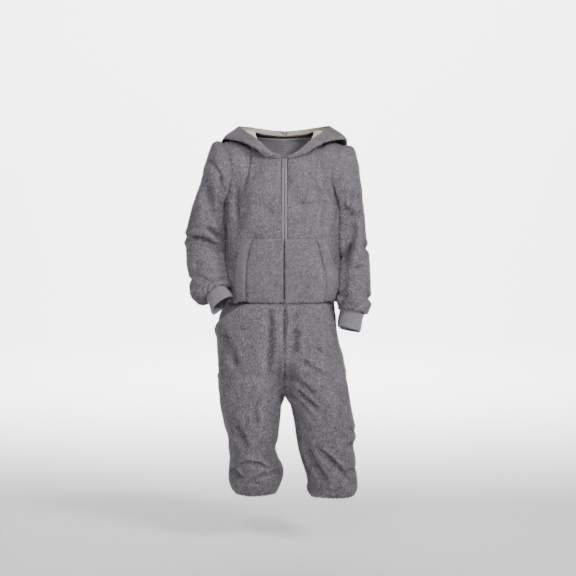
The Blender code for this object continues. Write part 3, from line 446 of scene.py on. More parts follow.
def shell_of(node):
    """A fine quad sheet on the solid's outer skin."""
    points, faces = outer_skin(node)
    cells = quads_of(faces)
    grid, closed = grid_of(points, cells)
    cuts = CUTS[kind_of(node)]
    rows = (grid.shape[0] - 1) * cuts + 1
    columns = grid.shape[1] * cuts if closed else (grid.shape[1] - 1) * cuts + 1
    quads = grid_quads(rows, columns, closed)
    fine = finer(grid, rows, columns, closed).reshape(-1, 3)
    normals = normals_of(fine, quads)
    cell = list(cells[0])
    outward = normals_of(points, np.array(cells))[cell].sum(axis=0)
    beside = np.argmin(np.linalg.norm(fine - points[cell].mean(axis=0), axis=1))
    if outward @ normals[beside] < 0:
        quads, normals = quads[:, ::-1], -normals
    return {"name": node, "kind": kind_of(node), "points": fine, "quads": quads,
            "normals": normals, "shape": (rows, columns), "closed": closed}


shells = {name: shell_of(name) for name in sorted(nodes) if kind_of(name) in CUTS}
for name, shell in shells.items():
    print(f"{name:18s}", len(shell["quads"]), "quads")

# %% [markdown]
# ## Creases placed one by one
#
# Plush is thick, so it folds in soft troughs, each with a slightly raised lip on both sides. A
# simulation would invent its own folds, so here each crease is drawn as a short path, given a
# depth and a width, and pressed into the cloth along the cloth's own normal. Paths on the front
# are drawn as the camera sees them, and the others as in a plain view from behind or from the
# side. A crease acts only on cloth that faces its side.

# %% The table of creases
CREASES = (
    # cloth, the side it faces, then rows of depth, width and a path of across and up, all in mm
    ("sleeve_right", "front",
     (10, 11.2, -200, -102, -193, -148, -182, -194),
     (10, 6.2, -244, -240, -198, -252, -159, -273),
     (8, 6.2, -201, -217, -162, -242),
     (5.1, 5, -180, -273, -154, -280),
     (5.1, 5, -233, -309, -205, -306),
     (8, 6.2, -223, -339, -185, -352, -144, -344),
     (5.1, 6.2, -190, -41, -167, -76, -159, -122)),
    ("sleeve_left", "front",
     (10, 11.2, 185, -97, 172, -237, 147, -306),
     (8, 6.2, 136, -306, 167, -263),
     (5.1, 5, 172, -321, 208, -316),
     (5.1, 5, 131, -382, 162, -395),
     (8, 7.5, 149, -161, 172, -184, 203, -178),
     (5.1, 6.2, 154, -408, 187, -418, 215, -403)),
    ("front", "front",
     (4.5, 6.9, -121, -102, -121, -189),
     (-4.5, 8, -136, -122, -139, -250, -136, -377),
     (3, 5.8, -45, -173, -27, -184),
     (3, 5.8, 29, -153, 50, -158),
     (3, 5.8, 29, -201, 52, -209),
     (4.5, 8, 96, -92, 106, -161, 96, -229),
     (4.5, 6.9, -88, -365, -57, -377, -19, -372),
     (4.5, 6.9, 19, -377, 55, -382, 96, -372)),
    ("leg_front_right", "front",
     (8, 8.8, -37, -411, -34, -505, -40, -607),
     (8, 8.8, -164, -474, -142, -518, -119, -576),
     (8, 8.8, -144, -678, -121, -740, -91, -790),
     (8, 5, -129, -834, -96, -822, -68, -824, -34, -839),
     (8, 5, -108, -877, -57, -854, -6, -841),
     (5.1, 4.4, -113, -875, -52, -872),
     (10, 7.5, -144, -831, -129, -847, -111, -862),
     (5.1, 7.5, -57, -638, -73, -683, -68, -734)),
    ("leg_front", "front", (6, 5, 0, -408, 1, -450, 0, -510)),
    ("leg_front_left", "front",
     (8, 8.8, 29, -469, 29, -546),
     (5.1, 6.2, 80, -523, 119, -548),
     (5.1, 6.2, 37, -556, 111, -597),
     (8, 6.2, 22, -599, 83, -648),
     (8, 6.2, 27, -630, 88, -688),
     (5.1, 5, 19, -643, 73, -706),
     (12, 7.5, 55, -775, 78, -829, 113, -875),
     (10, 7.5, 80, -783, 116, -813, 175, -870),
     (5.1, 4.4, 111, -895, 154, -895),
     (8, 6.2, 154, -778, 193, -770),
     (8, 6.2, 159, -844, 195, -836),
     (-4.2, 6.2, 93, -472, 121, -507),
     (5.1, 8.8, 136, -607, 152, -663, 144, -719)),
    ("sleeve_right", "back",
     (10, 11.2, -206, -92, -214, -150, -205, -196),
     (8, 7.5, -240, -246, -214, -232, -176, -246),
     (5.1, 6.2, -236, -262, -196, -272),
     (8, 7.5, -222, -338, -190, -352, -150, -342)),
    ("sleeve_right", "outer",
     (8, 7.5, -60, -236, -20, -250, 30, -238),
     (8, 7.5, -50, -348, -10, -360, 30, -346)),
    ("sleeve_left", "back",
     (10, 11.2, 190, -100, 182, -166, 160, -214),
     (8, 7.5, 150, -262, 184, -252, 212, -268),
     (5.1, 6.2, 160, -300, 196, -308, 214, -300),
     (8, 7.5, 146, -392, 180, -402, 208, -390)),
    ("sleeve_left", "outer",
     (8, 7.5, -40, -262, 0, -276, 36, -262),
     (8, 7.5, -60, -392, -20, -404, 10, -392)),
    ("back", "back",
     (4.5, 9.2, -104, -150, -88, -214, -96, -280),
     (4.5, 9.2, 112, -140, 96, -206, 104, -270),
     (6, 9.2, -70, -352, -20, -366, 34, -358),
     (4.5, 8, -30, -398, 24, -404, 70, -392)),
    ("leg_back", "back",
     (8, 8.8, -36, -440, -46, -500, -40, -560),
     (8, 8.8, 40, -452, 48, -512, 40, -560)),
    ("leg_back_right", "back",
     (8, 7.5, -26, -590, -66, -612, -118, -604),
     (5.1, 7.5, -40, -655, -86, -677, -128, -668),
     (10, 7.5, -30, -792, -76, -826, -124, -814),
     (10, 6.2, -44, -859, -86, -880, -128, -867)),
    ("leg_back_left", "back",
     (8, 7.5, 26, -606, 70, -627, 122, -612),
     (5.1, 7.5, 40, -681, 90, -700, 140, -689),
     (10, 7.5, 56, -811, 104, -841, 160, -826),
     (10, 6.2, 70, -880, 112, -899, 160, -886)),
    ("leg_front_right", "outer", (8, 7.5, -60, -560, -10, -590, 40, -576)),
    ("leg_back_right", "outer", (8, 7.5, 0, -707, 40, -739, 80, -724)),
    ("leg_back_left", "outer", (8, 7.5, 0, -560, 40, -586, 80, -570)),
    ("leg_front_left", "outer", (8, 7.5, -60, -724, -20, -749, 20, -737)),
)
VALLEY = 1.6      # 2 is a round trough, 1 a sharp one
LIP = 0.28        # how high the lips stand beside a trough, as a share of its depth
LIP_PLACE = 1.9   # how far out the lips stand, in trough widths
LIP_NARROW = 1.6
TAPER = 5         # a trough has its full depth a fifth of the way along
TAPER_END = 0.25  # and this share of it at its ends
FACING_LEAST, FACING_GAIN = 0.05, 4  # how far cloth has to face a crease's side


def seen_plane(points):
    """Across and up in mm, where the camera sees each point on a plane through the chest."""
    eye = np.array(CAMERA_PLACE)
    reach = (CAMERA_AIM.y - eye[1]) / (points[:, 1] - eye[1])
    return np.stack([eye[0] + (points[:, 0] - eye[0]) * reach,
                     eye[2] + (points[:, 2] - eye[2]) * reach], axis=1) / MM


def along_path(places, path):
    """Each place's distance to a bent line, and how far along the line it is nearest, 0 to 1."""
    path = np.reshape(path, (-1, 2)).astype(float)
    steps = np.linalg.norm(np.diff(path, axis=0), axis=1)
    starts = np.concatenate([[0], np.cumsum(steps)])
    best = np.full(len(places), 1e9)
    where = np.zeros(len(places))
    for a, b, length, start in zip(path[:-1], path[1:], steps, starts):
        share = np.clip((places - a) @ (b - a) / length ** 2, 0, 1)
        gap = np.linalg.norm(places - a - share[:, None] * (b - a), axis=1)
        nearer = gap < best
        best[nearer] = gap[nearer]
        where[nearer] = ((start + share * length) / starts[-1])[nearer]
    return best, where


def crease_height(shell):
    """How far the creases push each point out (above 0) or in (below 0), in mm."""
    points, normals = shell["points"], shell["normals"]
    outward = math.copysign(1, points[:, 0].mean())
    facing = {"front": -normals[:, 1], "back": normals[:, 1], "outer": normals[:, 0] * outward}
    views = {"front": seen_plane(points), "back": points[:, [0, 2]] / MM,
             "outer": points[:, [1, 2]] / MM}
    height = np.zeros(len(points))
    for cloth, side, *rows in CREASES:
        if not shell["name"].startswith(cloth):
            continue
        shown = np.clip((facing[side] - FACING_LEAST) * FACING_GAIN, 0, 1)
        for depth, width, *path in rows:
            gap, where = along_path(views[side], path)
            gap = gap / width
            press = -np.exp(-gap ** VALLEY) + LIP * np.exp(-(gap - LIP_PLACE) ** 2 * LIP_NARROW)
            taper = np.clip(np.minimum(where, 1 - where) * TAPER, TAPER_END, 1)
            height += depth * press * taper * shown
    return height


print("creases:", sum(len(rows) - 2 for rows in CREASES))

# %% [markdown]
# ## From skin to cloth
#
# The solid's outer skin is where the tips of the pile end. The ground that the pile grows from
# lies a few millimetres under it, gathered where elastic draws it in, and fuller where plush
# billows.

# %% Depths, swells and gathers
SMALL = ("pocket", "pocket_band", "hip_pocket")
GROUND_DEPTH = {"hood": 1.2, "pocket": 3.0, "pocket_band": 1.8, "hip_pocket": 3.4}  # mm
FLEECE_DEPTH = 2.6
HOOD_LOWEST = -0.3    # mm: the hood's cloth stays clear of its lining
SWELLS = ((0.070, 3.0), (0.030, 1.5))  # size in metres, height in mm
PUFFS = (
    # cloth, middle in mm, reach, height: where the cloth stands fuller
    ("sleeve_right", (-192, 10, -32), 42, 8),
    ("sleeve_left", (188, 10, -38), 42, 6),
    ("leg_front_left", (176, 10, -866), 34, 6),
    ("leg_back_left", (176, 10, -866), 34, 6),
)
WAIST_FULL = 4.5      # mm that the leg fronts stand fuller under the pocket's lower edge
WAIST_Z, WAIST_REACH = -0.412, 0.026
GATHERS = {
    # cloth: waves round, height in mm, how far they reach in mm, and where the hem begins
    "leg_front": (24, 2.4, 24.0, -0.84),
    "leg_back": (24, 2.4, 24.0, -0.84),
    "sleeve": (20, 1.8, 20.0, -0.30),
}


def border_points(shell, cuts=4):
    """Points along the sheet's border, close together."""
    quads = shell["quads"]
    ends = np.concatenate([quads[:, [k, (k + 1) % 4]] for k in range(4)])
    rows, count = np.unique(np.sort(ends, axis=1), axis=0, return_counts=True)
    rows = rows[count == 1]
    a, b = shell["points"][rows[:, 0]], shell["points"][rows[:, 1]]
    return np.concatenate([a + (b - a) * k / cuts for k in range(cuts)])


def nearest(places, targets):
    """Each place's distance to the nearest target, in mm."""
    tree = KDTree(len(targets))
    for index, target in enumerate(targets):
        tree.insert(target, index)
    tree.balance()
    return np.array([tree.find(place)[2] for place in places]) / MM


def bell(away, width):
    """1 in the middle, and almost 0 two widths away."""
    return np.exp(-(away / width) ** 2)


def hem_of(shell):
    """The part of the border that elastic gathers."""
    return shell["border"][shell["border"][:, 2] < GATHERS[shell["kind"]][3]]


def gather_height(shell):
    """The ripples that elastic makes near a hem or a cuff, each unlike the next."""
    waves, height, reach, _ = GATHERS[shell["kind"]]
    points, edge = shell["points"], hem_of(shell)
    middle = edge.mean(axis=0)
    turn = np.arctan2(points[:, 1] - middle[1], points[:, 0] - middle[0])
    uneven = np.sin(3 * turn + 1.0) + 0.6 * np.sin(5 * turn + middle[0] * 40)
    ripple = np.sin(waves * turn + 1.3 * uneven)
    fade = bell(nearest(points, edge), reach)
    return height * ripple * (0.75 + 0.25 * np.sin(2 * turn)) * fade


def noise_at(places, size):
    """Smooth noise from -1 to 1 at each place, with blobs of about this size in metres."""
    return np.array([noise.noise(Vector(place) / size) for place in places])


def soft_swell(shell):
    """Slow unevenness, as worn plush has between its creases, and the fuller places."""
    swell = sum(height * noise_at(shell["points"], size) for size, height in SWELLS)
    for cloth, middle, reach, height in PUFFS:
        if shell["name"] == cloth:
            away = np.linalg.norm(shell["points"] / MM - middle, axis=1)
            swell += height * bell(away, reach)
    return swell


for shell in shells.values():
    shell["border"] = border_points(shell)
print("gathered cloth:", ", ".join(GATHERS))

# %% [markdown]
# ## Where cloth rests on cloth
#
# A sleeve hangs against the body, and the legs against each other. Solids keep a gap there, but
# cloth has none. Each point sends out a ray straight ahead and one sideways, and where the facing
# cloth is near, the sheet swells by half the gap and a little more, so that the two piles meet.
# There its pile is also painted darker, as painted shade where the two cloths touch.

# %% The room between two cloths
TOUCH = 24.0          # mm: cloth this near to other cloth rests on it
TOUCH_FADE = 6.0      # mm over which that begins
PILE_MEETS = {"leg_front": 4.5, "leg_back": 4.5}  # mm of swelling that lets two piles meet
PILE_MEETS_ELSE = 3.4
RAY_START = 0.2       # mm off the skin
SIDEWAYS_LEAST = 0.2  # how far a normal has to lean sideways for that ray to count
BOX_MARGIN = 0.02     # metres: only points this near to a piece's box are tried
# painted shade between cloths that touch
REST_SHADE, REST_SHADE_FADE = 1.3, 18.0  # dark up to 5 mm apart, and not from 23 mm
RESTS = {
    # cloth: what it hangs against, with {0} for its own side and {1} for the other
    "sleeve": ("back", "front_{0}", "leg_front_{0}"),
    "back": ("sleeve_left", "sleeve_right"),
    "front": ("sleeve_{0}",),
    "leg_front": ("leg_front_{1}", "leg_back_{1}"),
    "leg_back": ("leg_front_{1}", "leg_back_{1}"),
}
OTHER_SIDE = {"left": "right", "right": "left"}


def tree_of(mesh):
    return BVHTree.FromPolygons([v.co for v in mesh.vertices], [f.vertices for f in mesh.polygons])


trees = {name: tree_of(nodes[name].data) for name in nodes}


def blurred(field, shell, rounds):
    """A value on the sheet's points, evened out over its neighbours."""
    grid = field.reshape(shell["shape"])
    for _ in range(rounds):
        for axis in (0, 1):
            ends = "wrap" if axis and shell["closed"] else "edge"
            wide = np.pad(grid, [(1, 1) if k == axis else (0, 0) for k in (0, 1)], ends)
            before = np.take(wide, range(grid.shape[axis]), axis)
            after = np.take(wide, range(2, grid.shape[axis] + 2), axis)
            grid = (before + 2 * grid + after) / 4
    return grid.reshape(-1)


def near_box(places, name):
    """Which places lie in or near a piece's box."""
    low, high = (np.array(corner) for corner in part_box(name))
    return ((places > low - BOX_MARGIN) & (places < high + BOX_MARGIN)).all(axis=1)


def room_ahead(tree, start, normal, across):
    """How far the facing cloth is, in mm, straight ahead or sideways."""
    gaps = [tree.ray_cast(start + normal * RAY_START * MM, way, TOUCH * MM)[3]
            for way in (normal, across) if way.dot(normal) > SIDEWAYS_LEAST]
    return min([gap / MM for gap in gaps if gap is not None], default=TOUCH)


def rest_height(shell):
    """How far the cloth has to swell to rest on the cloth that faces it, in mm. It also keeps the
    painted shade where the cloth rests.
    """
    near = np.full(len(shell["points"]), TOUCH)
    side = side_of(shell["name"])
    for other in RESTS[shell["kind"]]:
        other = other.format(side, OTHER_SIDE.get(side))
        low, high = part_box(other)
        across = math.copysign(1, (low[0] + high[0]) / 2 - shell["points"][:, 0].mean())
        for index in np.flatnonzero(near_box(shell["points"], other)):
            start, normal = (Vector(shell[key][index]) for key in ("points", "normals"))
            gap = room_ahead(trees[other], start, normal, Vector((across, 0, 0)))
            near[index] = min(near[index], gap)
    share = np.clip((TOUCH - near) / TOUCH_FADE, 0, 1)
    # painted shade where the cloth rests on other cloth, like a contact shadow
    dark = share * np.clip(REST_SHADE - near / REST_SHADE_FADE, 0, 1)
    shell["resting"] = blurred(dark, shell, 6)
    meets = PILE_MEETS.get(shell["kind"], PILE_MEETS_ELSE)
    return blurred((near / 2 + meets) * share, shell, 4)


print("cloth that rests on cloth:", ", ".join(RESTS))

# %% [markdown]
# ## Down to the ground
#
# Now the sheet is lowered from the skin to the pile's ground, with its creases pressed in, and
# sunk along the seams and round the pockets, where thread holds it down.

# %% Seams, pockets and the ground
SEAM_REACH = 6.0      # mm: two edges this near are sewn together
SEAM_SINK = 1.4       # mm: how deep the sewn line sinks
BAND_SEAM_SINK = 3.0  # mm: deeper where a band is sewn to its pocket
SEAM_WIDTH = 4.0      # mm
POCKET_SINK = 1.8     # mm that a front sinks round its pocket
BAND_SINK = {"right": 8.0, "left": 6.0}  # mm that it sinks beside the pocket's band
BAND_TOP_Z, BAND_FADE = -0.252, 0.022  # that hollow fades out towards its top
BESIDE, BESIDE_WIDTH = 4, 5  # mm: how far out those hollows are deepest, and their width
# painted shade for cloth that rests on cloth
RESTING_SHADE = 6.5   # cloth that rests on cloth is as dark as a hollow this many mm deep
HOLLOW_ROUNDS, HOLLOWS = 14, (-3, 9)  # a hollow is what lies under the evened sheet, in mm


def sewn_to(shell):
    """The panels whose edges may be sewn to this one's."""
    name = shell["name"]
    if shell["kind"] in SMALL[:2]:
        side = side_of(name)
        return [other + side for other in ("pocket_", "pocket_band_") if other + side != name]
    return [other for other in shells if kind_of(other) not in SMALL and other != name]


def pocket_sink(shell):
    """How deep a front lies round its pocket and the pocket's band, in mm."""
    side = side_of(shell["name"])
    under_top = np.clip((BAND_TOP_Z - shell["points"][:, 2]) / BAND_FADE, 0, 1)
    for piece, sink in (("pocket_", POCKET_SINK), ("pocket_band_", BAND_SINK[side] * under_top)):
        away = nearest(shell["points"], shells[piece + side]["border"])
        yield sink * bell(away - BESIDE, BESIDE_WIDTH)


def make_ground(shell):
    """Moves the sheet from the solid's skin to the cloth's ground."""
    kind, points = shell["kind"], shell["points"]
    others = np.concatenate([shells[other]["border"] for other in sewn_to(shell)])
    sewn = shell["border"][nearest(shell["border"], others) < SEAM_REACH]
    height = crease_height(shell)
    if kind in GATHERS:
        height += gather_height(shell)
    if kind in RESTS:
        height += rest_height(shell)
    if kind not in SMALL:
        height += soft_swell(shell)
    if kind == "leg_front":
        height += WAIST_FULL * bell(points[:, 2] - WAIST_Z, WAIST_REACH)
    if len(sewn):
        sink = BAND_SEAM_SINK if kind in SMALL else SEAM_SINK
        height -= sink * bell(nearest(points, sewn), SEAM_WIDTH)
    if kind == "front":
        for sink in pocket_sink(shell):
            height -= sink
    if kind == "hood":
        height = np.maximum(height, HOOD_LOWEST)
    depth = GROUND_DEPTH.get(kind, FLEECE_DEPTH)
    shell["ground"] = points + shell["normals"] * (height - depth)[:, None] * MM
    shell["ground_normals"] = normals_of(shell["ground"], shell["quads"])
    # painted shade: how deep each point lies in a hollow, and how near it rests on other cloth,
    # darkens its tufts
    shell["hollow"] = np.clip(blurred(height, shell, HOLLOW_ROUNDS) - height, *HOLLOWS)
    shell["hollow"] += shell.get("resting", 0) * RESTING_SHADE


for name, shell in shells.items():
    make_ground(shell)
    moved = np.linalg.norm(shell["ground"] - shell["points"], axis=1) / MM
    print(f"{name:18s} ground lies {moved.mean():.1f} mm under the skin, at most {moved.max():.1f}")

# %% [markdown]
# ## The plush
#
# The pile is real geometry: nearly 100,000 tufts, each a leaf of five triangles with a ridge
# along its middle. They lean down the cloth, as pile is brushed, each a little differently.
# Particle hair can't be exported as a mesh, and at arm's length plush reads as clumps like these.

# %% Tufts
TUFT_SPACING = 3.5    # mm
TUFT_LENGTH = (5.2, 7.6)
TUFT_WIDTH = (2.5, 3.6)
TUFT_RISE = (18, 42)  # degrees above the cloth
TUFT_TURN = 24        # degrees to each side of the pile's direction
TUFT_ROOT = 0.7       # mm under the ground
SOFTNESS = 0.62       # how far shading follows the cloth instead of the leaf
# painted shade: the tufts are painted darker by the depth of creases, seams and the hollows round
# the pockets
HOLLOW_SHADE = 0.10   # how much darker pile is for each mm of a crease's depth
# painted shade: the pile of the lower legs is painted darker, for the light that falls off towards
# the floor
LOWER_SHADE = 0.24    # how much darker it is at the gathered lower legs
LOWER_Z, LOWER_FADE = -0.62, 0.22
COVERED = 9.0         # mm: a tuft with a solid this close above it isn't made
COVER_START = 3.5     # mm above the cloth
COVERS = ("pocket", "pocket_band", "hood", "cuff", "front", "zip_tape")
SHOULDER_Z, SHOULDER_FADE = -0.12, 0.10  # over the shoulders the pile runs outwards too
SHOULDER_LEAN = 0.45
HEM_PILE, HEM_PILE_GROWS = 0.5, 24  # half as long at a hem, and whole 12 mm away


def pile_way(places, normals):
    """The way the pile runs: down, and outwards over the shoulders."""
    way = np.zeros_like(places)
    way[:, 2] = -1
    shoulder = np.clip((places[:, 2] - SHOULDER_Z) / SHOULDER_FADE, 0, 1)
    way[:, 0] = np.sign(places[:, 0]) * SHOULDER_LEAN * shoulder
    return unit(way - (way * normals).sum(axis=1)[:, None] * normals)


def scatter(shell):
    """Random places on the sheet, evenly spread, with their normals."""
    corners = shell["ground"][shell["quads"]]
    turned = shell["ground_normals"][shell["quads"]]
    area = np.linalg.norm(np.cross(corners[:, 2] - corners[:, 0], corners[:, 3] - corners[:, 1]),
                          axis=1) / 2 / MM ** 2
    counts = np.floor(area / TUFT_SPACING ** 2 + chance.random(len(area))).astype(int)
    quad = np.repeat(np.arange(len(area)), counts)
    order = np.arange(len(quad)) - np.repeat(np.cumsum(counts) - counts, counts)
    u = ((order + chance.random(len(quad))) / counts[quad])[:, None]
    v = chance.random(len(quad))[:, None]

    def blend(values):
        a, b, c, d = (values[quad, k] for k in range(4))
        return (a * (1 - u) + b * u) * (1 - v) + (d * (1 - u) + c * u) * v

    hollow = blend(shell["hollow"][shell["quads"]][..., None])[:, 0]
    return blend(corners), unit(blend(turned)), hollow


cover_trees = {name: trees[name] for name in nodes if kind_of(name) in COVERS}
print("pieces that may cover pile:", len(cover_trees))


def uncovered(places, normals, own):
    """Whether nothing lies close above each place."""
    keep = np.ones(len(places), bool)
    for name, tree in cover_trees.items():
        if name == own:
            continue
        for index in np.flatnonzero(near_box(places, name) & keep):
            start = Vector(places[index] + normals[index] * COVER_START * MM)
            if tree.ray_cast(start, Vector(normals[index]), COVERED * MM)[0] is not None:
                keep[index] = False
    return keep


def worn_short(shell, places):
    """How much of its length the pile keeps: at a gathered hem it is rubbed short."""
    if shell["kind"] not in GATHERS:
        return np.ones(len(places))
    away = nearest(places, hem_of(shell))
    return np.clip(HEM_PILE + away / HEM_PILE_GROWS, HEM_PILE, 1)


# %% One panel's tufts
LEAF = np.array([(1, 0, 4), (4, 0, 2), (3, 1, 4), (4, 2, 5), (3, 4, 5)])
ROOT_WIDTH = 0.7      # a leaf's width at its root, as a share of its widest
WIDEST = 0.48         # how far along it is widest
TIP_REACH = 0.56      # how far its tip lies beyond that
TIP_DROOP = 0.22
RIDGE = 0.55          # how high the ridge stands, as a share of half the width
EDGE_TURN, TIP_TURN = 0.4, 0.3  # how far the shading turns at a leaf's sides and tip
# painted shade at each leaf's two roots, and painted light at its ridge and tip
LEAF_TONES = (-0.35, -0.35, 0.0, 0.0, 0.06, 0.16)  # two roots, two sides, ridge, tip
TONE, TONE_SPREAD = 0.5, 0.20
TURN_MOST = 1.8       # the widest turn, in units of TUFT_TURN


def add_tufts(shell, material, scale):
    """All the tufts of one panel, as one mesh."""
    places, normals, hollow = scatter(shell)
    keep = uncovered(places, normals, shell["name"])
    places, normals, hollow = places[keep], normals[keep], hollow[keep]
    count = len(places)
    turn = np.clip(chance.normal(size=count), -TURN_MOST, TURN_MOST)[:, None]
    turn = np.radians(TUFT_TURN) * turn
    rise = np.radians(chance.uniform(*TUFT_RISE, count))[:, None]
    length = chance.uniform(*TUFT_LENGTH, count)[:, None] * MM * scale
    length *= worn_short(shell, places)[:, None]
    half = chance.uniform(*TUFT_WIDTH, count)[:, None] * MM * scale / 2
    down = pile_way(places, normals)
    way = down * np.cos(turn) + np.cross(normals, down) * np.sin(turn)
    side = np.cross(normals, way)
    lean = way * np.cos(rise) + normals * np.sin(rise)
    over = normals * np.cos(rise) - way * np.sin(rise)
    tip = unit(lean - normals * TIP_DROOP) * length * TIP_REACH
    root = places - normals * TUFT_ROOT * MM
    middle = root + lean * length * WIDEST
    points = np.stack([root - side * half * ROOT_WIDTH, root + side * half * ROOT_WIDTH,
                       middle - side * half, middle + side * half,
                       middle + over * half * RIDGE, middle + tip], axis=1)
    first = points.shape[1] * np.arange(count)[:, None, None]
    thing = add_mesh("tufts_" + shell["name"], points.reshape(-1, 3),
                     (LEAF[None] + first).reshape(-1, 3), material)
    soft = np.stack([over, over, over - side * EDGE_TURN, over + side * EDGE_TURN, over,
                     over + way * TIP_TURN], axis=1)
    soft = soft * (1 - SOFTNESS) + normals[:, None] * SOFTNESS
    thing.data.normals_split_custom_set_from_vertices(unit(soft).reshape(-1, 3).tolist())
    # each tuft's random tone together with its painted shade and light
    tone = thing.data.attributes.new("tone", "FLOAT", "POINT")
    shade = TONE + TONE_SPREAD * chance.normal(size=count) - HOLLOW_SHADE * hollow
    shade = shade[:, None] + LEAF_TONES
    # painted shade at the lower legs
    lower = np.clip((LOWER_Z - places[:, 2]) / LOWER_FADE, 0, 1)
    shade -= LOWER_SHADE * lower[:, None]
    tone.data.foreach_set("value", np.clip(shade, 0, 1).reshape(-1).astype(np.float32))
    return thing


print("points to a leaf:", len(LEAF_TONES))

# %% [markdown]
# ## Finishes
#
# Plush scatters light inside its pile, so it looks matt. Each tuft carries its own random tone,
# with painted shade at its roots, in creases and hollows, where cloth rests on cloth and at the
# lower legs, and painted light at its ridge and tip. Two soft noises add patches and flecks. The
# cloth's wrong side is a plain fine knit.

# %% Plush, knit backing, lining, rib and tape
# The tone, with its painted shade and light, picks each tuft's colour between these two.
PLUSH_TIPS = (0.325, 0.300, 0.330, 1)
PLUSH_ROOTS = (0.070, 0.064, 0.073, 1)


def plush_paint():
    paint = Paint("plush_tufts", Roughness=0.95, Sheen_Weight=0.22, Sheen_Roughness=0.45,
                  Specular_IOR_Level=0.12)
    # random tone with painted shade and light, which sets the pile's colour
    tone = paint.node("ShaderNodeAttribute", {"attribute_name": "tone"}, output=2)
    along = paint.place((1, 1, 0.4))
    patch = paint.noise(0.022, along, detail=1.0)
    fleck = paint.noise(0.0042, along, detail=1.0)
    share = tone * 0.75 + patch * 0.45 + fleck * 0.40 - 0.36
    paint.feed(Base_Color=paint.mix(share, PLUSH_ROOTS, PLUSH_TIPS))
    paint.bump(paint.noise(0.0011, detail=1.0), 0.0006, 0.8)
    return paint.material


def ground_paint():
    paint = Paint("plush_ground", Roughness=1.0, Specular_IOR_Level=0.05)
    patch = paint.noise(0.024, detail=1.0)
    fleck = paint.noise(0.0035)
    paint.feed(Base_Color=paint.mix(patch * 0.35 + fleck * 0.4, PLUSH_ROOTS, PLUSH_TIPS))
    paint.bump(fleck, 0.0012)
    return paint.material


def knit_paint(name, light, dark, loop=0.0012, bump=0.0004, rough=0.9):
    """A fine even knit: small loops in courses, with a soft unevenness."""
    paint = Paint(name, Roughness=rough, Sheen_Weight=0.15, Specular_IOR_Level=0.15)
    where = paint.place()
    courses = paint.node("ShaderNodeTexWave", {"bands_direction": "Z"}, {
        "Vector": where, "Scale": 1 / loop / 20, "Distortion": 0.6, "Detail": 1.0,
        "Detail Scale": 4.0})
    loops = paint.noise(loop, where, detail=1.0)
    patch = paint.noise(0.03, where)
    height = courses * 0.5 + loops * 0.5
    paint.feed(Base_Color=paint.mix(height * 0.5 + patch * 0.5, dark, light))
    paint.bump(height, bump)
    return paint.material


plush = plush_paint()
plush_ground = ground_paint()
backing = knit_paint("knit_backing", (0.30, 0.275, 0.30, 1), (0.20, 0.185, 0.20, 1))
cream = knit_paint("cream_lining", (0.64, 0.545, 0.49, 1), (0.50, 0.42, 0.375, 1), 0.0010)
rib_knit = knit_paint("rib_knit", (0.232, 0.219, 0.243, 1), (0.166, 0.154, 0.173, 1), 0.0011)
tape_weave = knit_paint("tape_weave", (0.265, 0.247, 0.270, 1), (0.20, 0.185, 0.204, 1), 0.0008,
                        0.0002, 0.75)
print("finishes:", len(bpy.data.materials))

# %% Sew the panels
CLOTH_THICK = {"hood": 0.4}  # mm
CLOTH_THICK_ELSE = 1.0
PILE = {"hood": 0.8, "pocket": 0.9, "pocket_band": 0.62, "hip_pocket": 0.8}


def worn(piece, node=None):
    """The piece moves with the garment, and may stand for a solid, which is then hidden."""
    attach(piece, "garment")
    if node:
        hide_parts(node)
    return piece


def add_panel(shell):
    """The panel's ground as a thin sheet, with its tufts."""
    panel = add_mesh("panel_" + shell["name"], shell["ground"], shell["quads"], plush_ground)
    panel.data.materials.append(backing)
    solid = panel.modifiers.new("thickness", "SOLIDIFY")
    solid.thickness = CLOTH_THICK.get(shell["kind"], CLOTH_THICK_ELSE) * MM
    solid.offset, solid.material_offset = -1, 1
    tufts = add_tufts(shell, plush, PILE.get(shell["kind"], 1.0))
    return worn(panel, shell["name"]), worn(tufts)


panels = {name: add_panel(shell) for name, shell in shells.items()}
total = sum(len(tufts.data.polygons) // len(LEAF) for _, tufts in panels.values())
print("panels:", len(panels), "tufts:", total)

# %% [markdown]
# ## Rib cuffs
#
# A rib cuff is a doubled tube of knit with raised ridges along the arm. They are too big for a
# bump, so they are in the mesh: the skin's rings are resampled, six points to a ridge, and pushed
# out in a rounded wave with narrow valleys.

# %% Cuffs
RIBS, RIB_SAMPLES = 38, 6
RIB_HEIGHT = 0.9          # mm
RIB_ROUND = 0.7           # 1 is a plain wave; less makes the valleys narrower
RIB_END, RIB_ENDS = 0.45, 9  # lower at a cuff's ends, and whole a ninth of the way along
STRETCH, STRETCH_SIZE = 0.5, 0.022  # mm of unevenness, and its size in metres
CUFF_ROWS = 20
TUCK, TUCK_IN = 6.0, 2.4  # mm that the cuff reaches into its sleeve, and is drawn in there
CUFF_DEPTH = 1.0          # mm from the solid's skin to the valleys
CUFF_THICK = 1.6          # mm


def tucked(grid):
    """The rings, with two more at the upper end that are tucked into the sleeve."""
    rings = grid if grid[0][:, 2].mean() > grid[-1][:, 2].mean() else grid[::-1]
    middle = rings[0].mean(axis=0)
    up = unit(middle - rings[2].mean(axis=0))
    added = [rings[0] + up * TUCK * share * MM - unit(rings[0] - middle) * TUCK_IN * share * MM
             for share in (1.0, 0.5)]
    return np.concatenate([added, rings])


